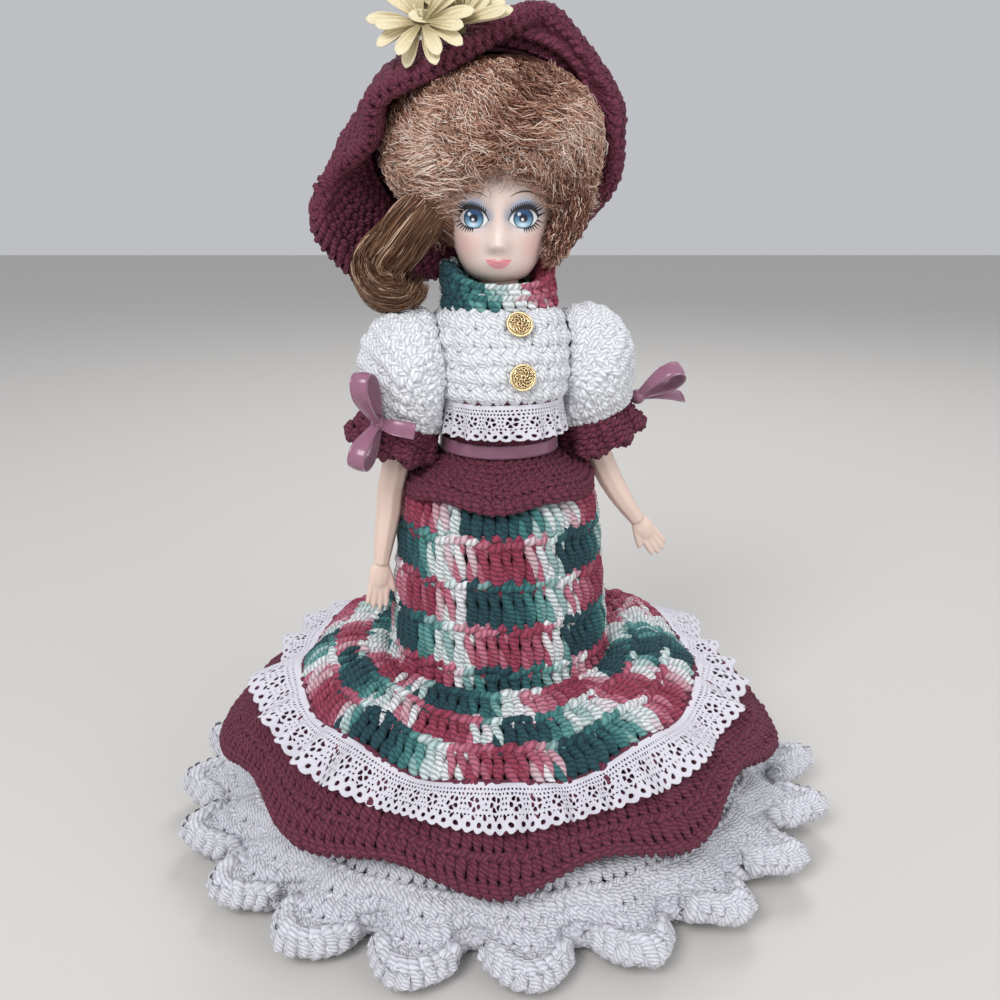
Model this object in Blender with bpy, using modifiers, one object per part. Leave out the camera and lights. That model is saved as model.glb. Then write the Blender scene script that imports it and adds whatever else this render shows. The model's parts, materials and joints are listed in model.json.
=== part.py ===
"""A vinyl doll in a crocheted dress and hat. Metres, +Z up, the face looks along -Y.

The origin is the middle of the hem that the dress stands on. The head turns on the neck
post, the arms and legs swing on pegs. The dress is a set of crocheted tiers, each a shell.
"""
import math

import bmesh
import bpy
from mathutils import Matrix, Vector

# Clearances and thicknesses
GAP = 0.0003
SEAT = 0.0010
YARN_WALL = 0.0030
LACE_WALL = 0.0008
RIBBON_WALL = 0.0007
RIBBON_WIDTH = 0.0050
OVERRUN = 0.0200

# Vinyl torso, with its neck post and bores
BUST_TURN = math.radians(13)
HIP_HEIGHT = 0.1220
HIP_SINK = 0.0100
TORSO_FOOT = HIP_HEIGHT - HIP_SINK
WAISTBAND_FOOT = 0.1555
SHOULDER_UP = 0.0345
SHOULDER_HEIGHT = WAISTBAND_FOOT + SHOULDER_UP
SHOULDER_HALF_WIDTH = 0.0193
NECK_RADIUS = 0.0074
NECK_UP = 0.0200
NECK_FOOT = SHOULDER_HEIGHT + NECK_UP
HIP_RADIUS = 0.0100
HIP_WEB = 0.0042
PEG_RADIUS = 0.0026
PEG_LENGTH = 0.0060

# Vinyl head, whose heights are all measured from the chin
CHIN_UP = 0.0077
CHIN_HEIGHT = NECK_FOOT + CHIN_UP
POST_LENGTH = 0.0143
NECK_TOP = CHIN_HEIGHT + POST_LENGTH
HEAD_TALL = 0.0640
HEAD_HALF_WIDTH = 0.0207
HEAD_HALF_DEPTH = 0.0222
NOSE_RISE = 0.0050
EYE_UP = 0.0223
EYE_HEIGHT = CHIN_HEIGHT + EYE_UP
EYE_SPACING = 0.0086
EYE_SINK = 0.0016
NOSE_UP = 0.0135
NOSE_HEIGHT = CHIN_HEIGHT + NOSE_UP
MOUTH_UP = 0.0075
MOUTH_HEIGHT = CHIN_HEIGHT + MOUTH_UP
LIP_RISE = 0.0014

# Vinyl arms: where the middle of each arm runs, seen from the front, from shoulder to wrist
SHOULDER_OUT = 0.0270
ARM_RADIUS = 0.0055
ARM_DROP = 0.0780
HAND_LENGTH = 0.0160
HAND_WIDTH = 0.0092
HAND_THICKNESS = 0.0046
FINGER_RADIUS = 0.0013
FINGER_LENGTH = 0.0100

# Vinyl legs
LEG_OUT = 0.0100
LEG_RADIUS = 0.0094
FOOT_LENGTH = 0.0230
FOOT_CLEAR = 0.0012

# Hair
HAIR_HALF_WIDTH = 0.0315
HAIR_HALF_DEPTH = 0.0319
HAIR_HALF_TALL = 0.0315
HAIR_UP = 0.0393
HAIR_MIDDLE = (0.0010, 0.0064, CHIN_HEIGHT + HAIR_UP)
HAIRLINE_UP = 0.0353
HAIRLINE = CHIN_HEIGHT + HAIRLINE_UP
FACE_HALF_WIDTH = 0.0198
FRINGE_RADIUS = 0.0048
CURL_RADIUS = 0.0062
LOCK_RADIUS = 0.0044

# Hat: a domed crown on an axis that points back and up, and a floppy brim
CROWN_UP = 0.0443
CROWN_MIDDLE = (-0.0050, 0.0100, CHIN_HEIGHT + CROWN_UP)
CROWN_HALF_WIDTH = 0.0400
CROWN_HALF_DEPTH = 0.0350
CROWN_HALF_TALL = 0.0365
HAT_AXIS_SHARES = (-0.15, 0.84, 0.52)
BRIM_LENGTH = 0.0600
HAT_LACE_WIDTH = 0.0080
PETAL_LENGTH = 0.0150
PETAL_WALL = 0.0007
PETAL_COUNT = 9
CALYX_RADIUS = 0.0022
DAISY_TURN = math.radians(116)
DAISY_FACING = (-0.25, -0.62, 0.70)

# Collar, bodice, buttons
COLLAR_RADIUS = 0.0190
COLLAR_SINK = 0.0019
COLLAR_FOOT = NECK_FOOT - COLLAR_SINK
COLLAR_CLEAR = 0.0032
COLLAR_FRONT_HEIGHT = CHIN_HEIGHT - COLLAR_CLEAR
COLLAR_CLIMB = 0.0090
COLLAR_BACK_HEIGHT = COLLAR_FRONT_HEIGHT + COLLAR_CLIMB
BODICE_DROP = 0.0125
BODICE_FOOT = SHOULDER_HEIGHT - BODICE_DROP
BODICE_CLEAR = 0.0011
BODICE_TOP = COLLAR_FOOT - BODICE_CLEAR
BODICE_HALF_WIDTH = 0.0224
BODICE_FRONT = 0.0255
BODICE_BACK = 0.0185
ARMHOLE_RADIUS = 0.0082
BUTTON_RADIUS = 0.0047
BUTTON_WALL = 0.0013
BUTTON_DROPS = (0.0050, 0.0205)
BUTTON_OUT = 0.0015

# Waist: band, lace, ribbon, peplum
WAIST_RADIUS = 0.0190
BUST_LACE_DROP = 0.0125
PEPLUM_HALF_WIDTH = 0.0345
PEPLUM_HALF_DEPTH = 0.0380
PEPLUM_CLEAR = 0.0021
PEPLUM_TOP = WAISTBAND_FOOT - PEPLUM_CLEAR
PEPLUM_DROP = 0.0119
PEPLUM_FOOT = PEPLUM_TOP - PEPLUM_DROP

# Sleeves, cuffs and bows
SLEEVE_OUT = 0.0370
SLEEVE_HALF_WIDTH = 0.0158
SLEEVE_HALF_DEPTH = 0.0195
SLEEVE_SINK = 0.0008
SLEEVE_MIDDLE = SHOULDER_HEIGHT - SLEEVE_SINK
SLEEVE_DROP = 0.0212
SLEEVE_FOOT = SLEEVE_MIDDLE - SLEEVE_DROP
SLEEVE_PLANE = 0.0252
CUFF_TILT = math.radians(22)
CUFF_TOP_RADIUS = 0.0118
CUFF_RIM_RADIUS = 0.0134
CUFF_DROP = 0.0115
KNOT_RADIUS = 0.0028
LOOP_LENGTH = 0.0180
LOOP_OPEN = 0.0042
TAIL_LENGTH = 0.0130

# Skirt tiers, each given by the middle of its wall
TUBE_TUCK = 0.0055
TUBE_TOP = PEPLUM_FOOT + TUBE_TUCK
TUBE_RADIUS = 0.0418
TUBE_FOOT = 0.0640
FLARE_INNER_HEIGHT = 0.0665
FLARE_RADIUS = 0.0775
FLARE_FRONT_HEIGHT = 0.0530
FLARE_BACK_HEIGHT = 0.0670
FLARE_BULGE = 0.0085
FLOUNCE_RADIUS = 0.0960
FLOUNCE_FRONT_HEIGHT = 0.0310
FLOUNCE_BACK_HEIGHT = 0.0470
FLOUNCE_WAVE = 0.0048
SKIRT_WAVES = 9
WAVE_START = math.radians(184)
PETTICOAT_TOP = 0.1240
PETTICOAT_RADIUS = 0.0900
PETTICOAT_HEM = 0.0215
RUFFLE_RADIUS = 0.1055
RUFFLE_WAVE = 0.0062
RUFFLE_WALL = 0.0024
FLAT_DEPTH = 0.0005
SKIRT_LACE_WIDTH = 0.0120
OVAL_SHARE = 0.13

# Counts of facets and folds
SKIRT_STEPS = 54
LACE_FOLDS = 18
RUFFLE_FOLDS = 20
RUFFLE_STEPS_A_FOLD = 6
SLEEVE_STEPS = 20
HEAD_STEPS = 24
HEAD_RINGS = 19

# Tables of shares, chosen by hand: place along the piece, then shares of the sizes above
TORSO_SHARES = [  # height from foot to neck foot, half width, half depth, of the shoulder half width
    (0.00, 0.55, 0.40), (0.04, 0.95, 0.52), (0.17, 1.02, 0.53), (0.30, 0.86, 0.60), (0.43, 0.78, 0.62),
    (0.55, 0.80, 0.70), (0.66, 0.90, 0.86), (0.80, 1.00, 0.78), (0.88, 0.98, 0.64), (0.94, 0.76, 0.50),
    (0.975, 0.50, 0.42), (1.00, 0.385, 0.385),
]
ARM_SHARES = {  # drop from the shoulder, outward and forward run, of the arm's drop; radius share
    "left": [
        (0.00, 0.000, 0.00, 1.25), (0.10, 0.060, 0.00, 1.12), (0.25, 0.100, 0.00, 1.02),
        (0.42, 0.140, 0.01, 0.98), (0.58, 0.190, 0.02, 0.97), (0.76, 0.215, 0.03, 0.90),
        (0.90, 0.246, 0.05, 0.72), (1.00, 0.262, 0.06, 0.56),
    ],
    "right": [
        (0.00, 0.000, 0.00, 1.25), (0.10, 0.060, 0.00, 1.12), (0.25, 0.098, 0.00, 1.02),
        (0.42, 0.135, 0.01, 0.98), (0.58, 0.200, 0.02, 0.96), (0.70, 0.265, 0.02, 0.86),
        (0.80, 0.330, 0.03, 0.72), (0.88, 0.390, 0.03, 0.57),
    ],
}
LEG_SHARES = [  # drop from the hip to the ankle, outward run of the leg radius, radius share
    (0.00, 0.00, 1.00), (0.12, 0.00, 1.01), (0.28, 0.02, 0.90), (0.44, 0.02, 0.74), (0.52, 0.00, 0.70),
    (0.66, 0.00, 0.76), (0.80, -0.02, 0.60), (1.00, -0.04, 0.44),
]
CURL_SHARES = [  # outward, forward, drop, of the hair's half width, from the hair's foremost point
    (-0.66, -0.56, 0.30), (-0.90, -0.52, 0.52), (-1.16, -0.54, 0.80), (-1.40, -0.58, 1.06),
    (-1.34, -0.56, 1.26), (-1.12, -0.50, 1.30), (-1.00, -0.46, 1.16),
]
LOCK_SHARES = [(0.74, -0.48, 0.20), (0.80, -0.52, 0.50), (0.80, -0.60, 0.80), (0.78, -0.66, 1.00)]
FRINGE_SHARES = [
    (-0.66, -0.20, 0.46), (-0.52, -0.02, 0.14), (-0.28, 0.08, -0.02), (0.00, 0.12, -0.06),
    (0.28, 0.08, -0.02), (0.50, -0.02, 0.14), (0.64, -0.20, 0.46),
]
DOME_SHARES = [
    (0.00, 0.00, 1.00), (0.25, 0.40, 0.915), (0.50, 0.72, 0.70), (0.75, 0.92, 0.39), (1.00, 0.985, 0.17),
]
BRIM_EDGE_SHARES = [  # turn round the hat axis, quarters from +X; where the edge lies, in brim lengths
    (-0.95, 0.14, 0.18, -0.62), (-0.70, -0.14, 0.30, -0.72), (-0.45, -0.40, 0.24, -0.74),
    (-0.20, -0.74, 0.02, -0.76), (0.00, -0.99, -0.14, -0.50), (0.15, -1.01, -0.18, -0.30),
    (0.30, -0.90, -0.13, -0.13), (0.42, -0.66, -0.30, 0.06), (0.52, -0.60, -0.48, 0.26),
    (0.72, -0.22, -0.50, 0.44), (1.00, 0.32, -0.25, 0.75), (1.18, 0.52, -0.14, 0.66),
    (1.50, 0.80, -0.03, 0.29), (1.72, 0.82, 0.01, 0.08), (1.95, 0.79, 0.05, -0.17),
    (2.20, 0.62, 0.08, -0.38), (2.60, 0.42, 0.14, -0.62),
]
DAISY_SHARES = [  # out from the hat, sideways, calyx length, in petal lengths; roll
    (0.92, -0.06, 0.13, 0.2), (0.46, -0.75, 0.06, 0.0),
]
BODICE_SHARES = [  # height share from foot to top, half width, front, back shares
    (0.00, 0.95, 1.00, 0.97), (0.26, 0.99, 1.03, 1.00), (0.54, 1.00, 0.98, 1.00), (0.78, 0.97, 0.88, 0.97),
    (0.92, 0.90, 0.78, 0.95), (1.00, 0.82, 0.71, 0.92),
]
SLEEVE_SHARES = [  # place, outward run to the mouth, height from mouth to middle, half height, half depth shares
    (0.00, 0.00, 1.00, 0.84, 0.62), (0.16, 0.30, 1.00, 1.02, 0.88), (0.36, 0.66, 0.94, 1.09, 1.00),
    (0.58, 0.92, 0.72, 1.04, 1.00), (0.80, 0.99, 0.36, 0.92, 0.84), (1.00, 1.00, 0.00, 0.76, 0.605),
]
BOW_SHARES = [  # side, turn round the cuff of the knot, then loops and tails: their way, and length shares
    ("left", -1, math.radians(236), [("loop", (-0.30, -0.50, 0.82), 1.0), ("loop", (-0.50, -0.50, -0.70), 0.8),
                                     ("tail", (0.80, -0.58, -0.12), 1.0)]),
    ("right", 1, math.radians(-10), [("loop", (0.76, -0.34, 0.55), 0.85), ("tail", (0.97, 0.20, -0.06), 1.5)]),
]
TUBE_SHARES = [  # place, radius share from waist to foot, height share from foot to top
    (0.00, 0.00, 1.00), (0.12, 0.36, 0.955), (0.22, 0.60, 0.890), (0.32, 0.71, 0.79), (0.55, 0.80, 0.52),
    (0.78, 0.90, 0.25), (1.00, 1.00, 0.00),
]
PEPLUM_SHARES = [  # place, radius share from waist to rim, height share from foot to top
    (0.00, 0.00, 1.00), (0.35, 0.45, 0.62), (0.70, 0.88, 0.32), (0.88, 1.00, 0.12), (1.00, 0.97, 0.00),
]
PETTICOAT_SHARES = [  # place, radius share from the tube's inside to the hem, height share from hem to top
    (0.00, 0.00, 1.00), (0.25, 0.02, 0.72), (0.50, 0.04, 0.41), (0.75, 0.50, 0.20), (1.00, 1.00, 0.00),
]

MATERIALS = {  # colour, roughness, metallic
    "vinyl": ((0.72, 0.54, 0.46), 0.42, 0.0),
    "face_vinyl": ((0.80, 0.66, 0.59), 0.40, 0.0),
    "hair": ((0.30, 0.17, 0.11), 0.50, 0.0),
    "maroon_yarn": ((0.12, 0.027, 0.050), 0.90, 0.0),
    "mixed_yarn": ((0.10, 0.22, 0.23), 0.90, 0.0),
    "white_yarn": ((0.76, 0.77, 0.81), 0.90, 0.0),
    "lace": ((0.70, 0.68, 0.74), 0.80, 0.0),
    "mauve_satin": ((0.32, 0.15, 0.22), 0.30, 0.0),
    "blue_satin": ((0.26, 0.42, 0.52), 0.30, 0.0),
    "silk": ((0.66, 0.58, 0.36), 0.65, 0.0),
    "gold": ((0.60, 0.42, 0.18), 0.30, 1.0),
}

FRONT = -math.pi / 2
FULL_TURN = 2 * math.pi


def clear_scene():
    for obj in list(bpy.data.objects):
        bpy.data.objects.remove(obj, do_unlink=True)


def new_collection(name):
    made = bpy.data.collections.new(name)
    bpy.context.scene.collection.children.link(made)
    return made


clear_scene()
PARTS = new_collection("crochet_dressed_doll")
CUTTERS = new_collection("cutters")


def material(name):
    found = bpy.data.materials.get(name)
    if found:
        return found
    colour, roughness, metallic = MATERIALS[name]
    made = bpy.data.materials.new(name)
    made.use_nodes = True
    shader = made.node_tree.nodes["Principled BSDF"]
    shader.inputs["Base Color"].default_value = (*colour, 1)
    shader.inputs["Roughness"].default_value = roughness
    shader.inputs["Metallic"].default_value = metallic
    made.diffuse_color = (*colour, 1)
    return made


def new_empty(name, place, turn=0.0):
    empty = bpy.data.objects.new(name, None)
    empty.location = place
    empty.rotation_euler = (0, 0, turn)
    PARTS.objects.link(empty)
    return empty


def place_in(obj, collection):
    for held in list(obj.users_collection):
        held.objects.unlink(obj)
    collection.objects.link(obj)


def finish(obj, slot, parent=None):
    """Puts a piece among the parts, with its material, under the empty that carries it."""
    place_in(obj, PARTS)
    obj.data.materials.clear()
    obj.data.materials.append(material(slot))
    if obj.type == "MESH":
        obj.data.shade_smooth()
    if parent:
        obj.parent = parent
        obj.matrix_parent_inverse = Matrix.Translation(-parent.location)
    return obj


def evaluated_copy(obj, name):
    """A plain mesh object of what the modifiers or the curve make, with loose caps welded."""
    bpy.context.view_layer.update()
    graph = bpy.context.evaluated_depsgraph_get()
    mesh = bpy.data.meshes.new_from_object(obj.evaluated_get(graph), depsgraph=graph)
    work = bmesh.new()
    work.from_mesh(mesh)
    bmesh.ops.remove_doubles(work, verts=work.verts, dist=RIBBON_WALL / 50)
    work.to_mesh(mesh)
    work.free()
    made = bpy.data.objects.new(name, mesh)
    made.matrix_world = obj.matrix_world.copy()
    PARTS.objects.link(made)
    return made


def settled(obj):
    """Replaces an object by the mesh that its modifiers make."""
    name = obj.name
    made = evaluated_copy(obj, name + "_settled")
    bpy.data.objects.remove(obj, do_unlink=True)
    made.name = name
    return made


def cutter(obj):
    place_in(obj, CUTTERS)
    obj.hide_render = True
    obj.display_type = "WIRE"
    return obj


def grown(obj, margin):
    """Moves the object's surface out by the margin."""
    moves = [vertex.co + vertex.normal * margin for vertex in obj.data.vertices]
    for vertex, place in zip(obj.data.vertices, moves):
        vertex.co = place
    return obj


def boolean(obj, other, operation):
    modifier = obj.modifiers.new(operation.lower(), "BOOLEAN")
    modifier.operation = operation
    modifier.object = other
    modifier.solver = "EXACT"


def cut(obj, *cutters):
    for other in cutters:
        boolean(obj, other, "DIFFERENCE")
    return settled(obj)


def joined(obj, *others):
    """One body of overlapping shapes."""
    for other in others:
        boolean(obj, other, "UNION")
    made = settled(obj)
    for other in others:
        bpy.data.objects.remove(other, do_unlink=True)
    return made


def between(start, end, share):
    return start + (end - start) * share


def eased(rows, place):
    """Smooth values between the rows of a table whose first column is the place."""
    if place <= rows[0][0]:
        return list(rows[0][1:])
    if place >= rows[-1][0]:
        return list(rows[-1][1:])
    index = max(k for k in range(len(rows) - 1) if rows[k][0] <= place)
    before, start, end, after = (rows[max(index - 1, 0)], rows[index], rows[index + 1],
                                 rows[min(index + 2, len(rows) - 1)])
    span = end[0] - start[0]
    u = (place - start[0]) / span
    values = []
    for column in range(1, len(start)):
        slope_in = (end[column] - before[column]) / (end[0] - before[0]) * span
        slope_out = (after[column] - start[column]) / (after[0] - start[0]) * span
        rise = end[column] - start[column]
        values.append(start[column] + u * slope_in + u * u * (3 * rise - 2 * slope_in - slope_out)
                      + u * u * u * (slope_in + slope_out - 2 * rise))
    return values


def bump(offset, width):
    return math.exp(-(offset / width) ** 2)


def turned_sheet(name, point, rows, steps, wall, seam_up=True):
    """A cloth wall: a Screw-turned sheet whose points go where point(place, turn) says.

    place runs from 0 at the first row to 1 at the last, and turn goes once round from +X.
    """
    mesh = bpy.data.meshes.new(name)
    profile = [(1.0, 0.0, -float(k)) for k in range(rows + 1)]
    mesh.from_pydata(profile, [(k, k + 1) for k in range(rows)], [])
    sheet = bpy.data.objects.new(name, mesh)
    PARTS.objects.link(sheet)
    screw = sheet.modifiers.new("turn", "SCREW")
    screw.steps = screw.render_steps = steps
    screw.use_merge_vertices = True
    screw.merge_threshold = RIBBON_WALL / 50
    sheet = settled(sheet)
    for vertex in sheet.data.vertices:
        turn = math.atan2(vertex.co.y, vertex.co.x)
        vertex.co = point(round(-vertex.co.z) / rows, turn)
    work = bmesh.new()
    work.from_mesh(sheet.data)
    bmesh.ops.remove_doubles(work, verts=work.verts, dist=RIBBON_WALL / 50)
    bmesh.ops.dissolve_degenerate(work, edges=work.edges, dist=RIBBON_WALL / 100)
    work.to_mesh(sheet.data)
    work.free()
    solid = sheet.modifiers.new("wall", "SOLIDIFY")
    solid.thickness = wall
    solid.offset = 0
    solid.use_quality_normals = True
    return settled(sheet)


def ball(name, half_sizes, place, steps, rings):
    bpy.ops.mesh.primitive_uv_sphere_add(segments=steps, ring_count=rings, radius=1)
    made = bpy.context.active_object
    made.name = name
    for vertex in made.data.vertices:
        vertex.co = Vector(place) + Vector(c * s for c, s in zip(vertex.co, half_sizes))
    return made


def rod(name, radius, start, end, steps=16):
    """A cylinder between two points."""
    start, end = Vector(start), Vector(end)
    bpy.ops.mesh.primitive_cylinder_add(vertices=steps, radius=radius, depth=(end - start).length)
    made = bpy.context.active_object
    made.name = name
    turn = Vector((0, 0, 1)).rotation_difference(end - start).to_matrix().to_4x4()
    made.data.transform(Matrix.Translation((start + end) / 2) @ turn)
    return made


def block(name, low, high):
    bpy.ops.mesh.primitive_cube_add(size=1)
    made = bpy.context.active_object
    made.name = name
    for vertex in made.data.vertices:
        vertex.co = Vector(a + (b - a) * (c + 0.5) for a, b, c in zip(low, high, vertex.co))
    return made


def tube(name, stations, sides=2, samples=10):
    """A round tube along a smooth curve. A station is a point and the tube's radius there."""
    rows = [(k / (len(stations) - 1), *point, radius) for k, (point, radius) in enumerate(stations)]
    curve = bpy.data.curves.new(name, "CURVE")
    curve.dimensions = "3D"
    curve.bevel_depth = 1.0
    curve.bevel_resolution = sides
    curve.use_fill_caps = True
    spline = curve.splines.new("POLY")
    spline.points.add(samples - 1)
    for k, point in enumerate(spline.points):
        x, y, z, radius = eased(rows, k / (samples - 1))
        point.co = (x, y, z, 1)
        point.radius = radius
    made = bpy.data.objects.new(name, curve)
    PARTS.objects.link(made)
    return settled(made)


def oval(turn, half_width, front, back, power=2.0):
    """A point of an oval section, fuller at the sides as the power goes over 2."""
    c, s = math.cos(turn), math.sin(turn)
    depth = front if s < 0 else back
    return (half_width * math.copysign(abs(c) ** (2 / power), c), depth * math.copysign(abs(s) ** (2 / power), s))


# Vinyl head


def head_point(unit):
    """Where a point of the unit ball goes on the head: a flat face, a tapered jaw, then the features."""
    x, y, z = unit
    girth = math.sqrt(max(0.0, 1 - z * z))
    jaw = min(1.0, max(0.0, (-z - 0.05) / 0.95))
    side = x / girth if girth > 1e-6 else 0.0
    deep = y / girth if girth > 1e-6 else 0.0
    half_width = HEAD_HALF_WIDTH * girth ** 0.45 * (1 - 0.04 * jaw)
    if deep < 0:
        half_depth = HEAD_HALF_DEPTH * girth ** (0.42 + 0.5 * max(0.0, z)) * (1 - 0.10 * jaw)
    else:
        half_depth = HEAD_HALF_DEPTH * girth ** 0.8 * (1 - 0.62 * jaw)
    place = Vector((half_width * side, half_depth * deep, CHIN_HEIGHT + HEAD_TALL * (z + 1) / 2))
    if deep < 0:
        front = min(1.0, -deep * 1.6)
        nose = bump(place.x, HEAD_HALF_WIDTH * 0.13)
        down = place.z - NOSE_HEIGHT
        nose *= bump(down, HEAD_TALL * (0.05 if down < 0 else 0.12))
        beside = bump(abs(place.x) - EYE_SPACING, HEAD_HALF_WIDTH * 0.22)
        eye = beside * bump(place.z - EYE_HEIGHT, HEAD_TALL * 0.06)
        lips = bump(place.x, HEAD_HALF_WIDTH * 0.2) * bump(place.z - MOUTH_HEIGHT, HEAD_TALL * 0.03)
        place.y -= front * (NOSE_RISE * nose + LIP_RISE * lips - EYE_SINK * eye)
    return place


def head_form(name, steps, rings):
    bpy.ops.mesh.primitive_uv_sphere_add(segments=steps, ring_count=rings, radius=1)
    head = bpy.context.active_object
    head.name = name
    for vertex in head.data.vertices:
        vertex.co = head_point(vertex.co)
    return head


def make_head(parent):
    head = head_form("head", HEAD_STEPS, HEAD_RINGS)
    socket = rod("neck_socket", NECK_RADIUS + GAP, (0, 0, CHIN_HEIGHT - OVERRUN), (0, 0, NECK_TOP + GAP))
    return finish(cut(head, cutter(socket)), "face_vinyl", parent)


# Vinyl torso, arms and legs


def make_torso(parent):
    def point(place, turn):
        width, depth = eased(TORSO_SHARES, place)
        x, y = oval(turn, SHOULDER_HALF_WIDTH * width, SHOULDER_HALF_WIDTH * depth, SHOULDER_HALF_WIDTH * depth * 0.86, 2.2)
        return Vector((x, y, between(TORSO_FOOT, NECK_FOOT, place)))

    bpy.ops.mesh.primitive_cylinder_add(vertices=16, radius=1, depth=1)
    torso = bpy.context.active_object
    torso.name = "torso"
    work = bmesh.new()
    work.from_mesh(torso.data)
    long_edges = [edge for edge in work.edges if abs(edge.verts[0].co.z - edge.verts[1].co.z) > 0.5]
    bmesh.ops.subdivide_edges(work, edges=long_edges, cuts=11, use_grid_fill=True)
    for vertex in work.verts:
        vertex.co = point(vertex.co.z + 0.5, math.atan2(vertex.co.y, vertex.co.x))
    work.to_mesh(torso.data)
    work.free()
    post = rod("neck_post", NECK_RADIUS, (0, 0, NECK_FOOT - GAP * 3), (0, 0, NECK_TOP), 16)
    torso = joined(torso, post)
    for side in (-1, 1):
        swing = rod("hip_recess", HIP_RADIUS + GAP * 2, (side * HIP_WEB, 0, HIP_HEIGHT),
                    (side * (HIP_WEB + OVERRUN), 0, HIP_HEIGHT), 32)
        hip_bore = rod("hip_bore", PEG_RADIUS + GAP, (side * HIP_WEB * 1.1, 0, HIP_HEIGHT),
                       (side * HIP_WEB * 0.12, 0, HIP_HEIGHT))
        below = block("below_hip", (side * HIP_WEB if side > 0 else -OVERRUN - HIP_WEB, -OVERRUN, TORSO_FOOT - OVERRUN),
                      (OVERRUN + HIP_WEB if side > 0 else -HIP_WEB, OVERRUN, HIP_HEIGHT))
        bore = rod("shoulder_bore", PEG_RADIUS + GAP, (side * (SHOULDER_HALF_WIDTH + OVERRUN), 0, SHOULDER_HEIGHT),
                   (side * (SHOULDER_OUT - PEG_LENGTH * 2 - GAP), 0, SHOULDER_HEIGHT))
        torso = cut(torso, cutter(swing), cutter(hip_bore), cutter(below), cutter(bore))
    return finish(torso, "vinyl", parent)


def arm_place(side, drop):
    """The middle of the arm, by its share of the drop from the shoulder, and its radius there."""
    out, forward, radius = eased(ARM_SHARES["left" if side < 0 else "right"], drop)
    place = Vector((side * (SHOULDER_OUT + out * ARM_DROP), -forward * ARM_DROP, SHOULDER_HEIGHT - drop * ARM_DROP))
    return place, radius * ARM_RADIUS


def make_arm(name, side, parent):
    rows = ARM_SHARES["left" if side < 0 else "right"]
    wrist_drop = rows[-1][0]
    stations = [(Vector((side * SHOULDER_OUT, 0, SHOULDER_HEIGHT + ARM_RADIUS * 1.2)), ARM_RADIUS * 0.35),
                (Vector((side * SHOULDER_OUT, 0, SHOULDER_HEIGHT + ARM_RADIUS * 0.7)), ARM_RADIUS * 1.00)]
    stations += [arm_place(side, wrist_drop * k / 8) for k in range(9)]
    arm = tube(name, stations, sides=2, samples=15)
    wrist, _ = arm_place(side, wrist_drop)
    above, _ = arm_place(side, wrist_drop * 0.94)
    along = (wrist - above).normalized()
    across = Vector((-side * -along.z, 0, -side * along.x)).normalized()
    knuckles = wrist + along * HAND_LENGTH * 0.52
    palm = ball(name + "_palm", (HAND_WIDTH / 2, HAND_THICKNESS / 2, HAND_LENGTH * 0.40), (0, 0, 0), 10, 6)
    frame = Matrix((across, along.cross(across), along)).transposed().to_4x4()
    palm.data.transform(Matrix.Translation(wrist + along * HAND_LENGTH * 0.27) @ frame)
    pieces = [palm]
    for k, length_share in enumerate((0.86, 1.0, 0.96, 0.80)):
        spread = (1.5 - k) / 3
        root = knuckles + across * HAND_WIDTH * 0.62 * spread - along * FINGER_RADIUS * 2
        tip = root + (along + across * 0.16 * spread).normalized() * (FINGER_LENGTH * length_share + FINGER_RADIUS * 2)
        pieces.append(tube(f"{name}_finger", [(root, FINGER_RADIUS), (root.lerp(tip, 0.6), FINGER_RADIUS),
                                              (tip, FINGER_RADIUS * 0.62)], sides=1, samples=4))
    root = wrist + along * HAND_LENGTH * 0.12 + across * HAND_WIDTH * 0.30
    tip = root + (along * 0.88 + across * 0.36) * FINGER_LENGTH
    pieces.append(tube(f"{name}_thumb", [(root, FINGER_RADIUS), (root.lerp(tip, 0.55), FINGER_RADIUS * 1.15),
                                         (tip, FINGER_RADIUS * 0.66)], sides=1, samples=4))
    pieces.append(rod(name + "_peg", PEG_RADIUS, (side * SHOULDER_OUT, 0, SHOULDER_HEIGHT),
                      (side * (SHOULDER_OUT - PEG_LENGTH * 2), 0, SHOULDER_HEIGHT)))
    return finish(joined(arm, *pieces), "vinyl", parent)


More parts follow.
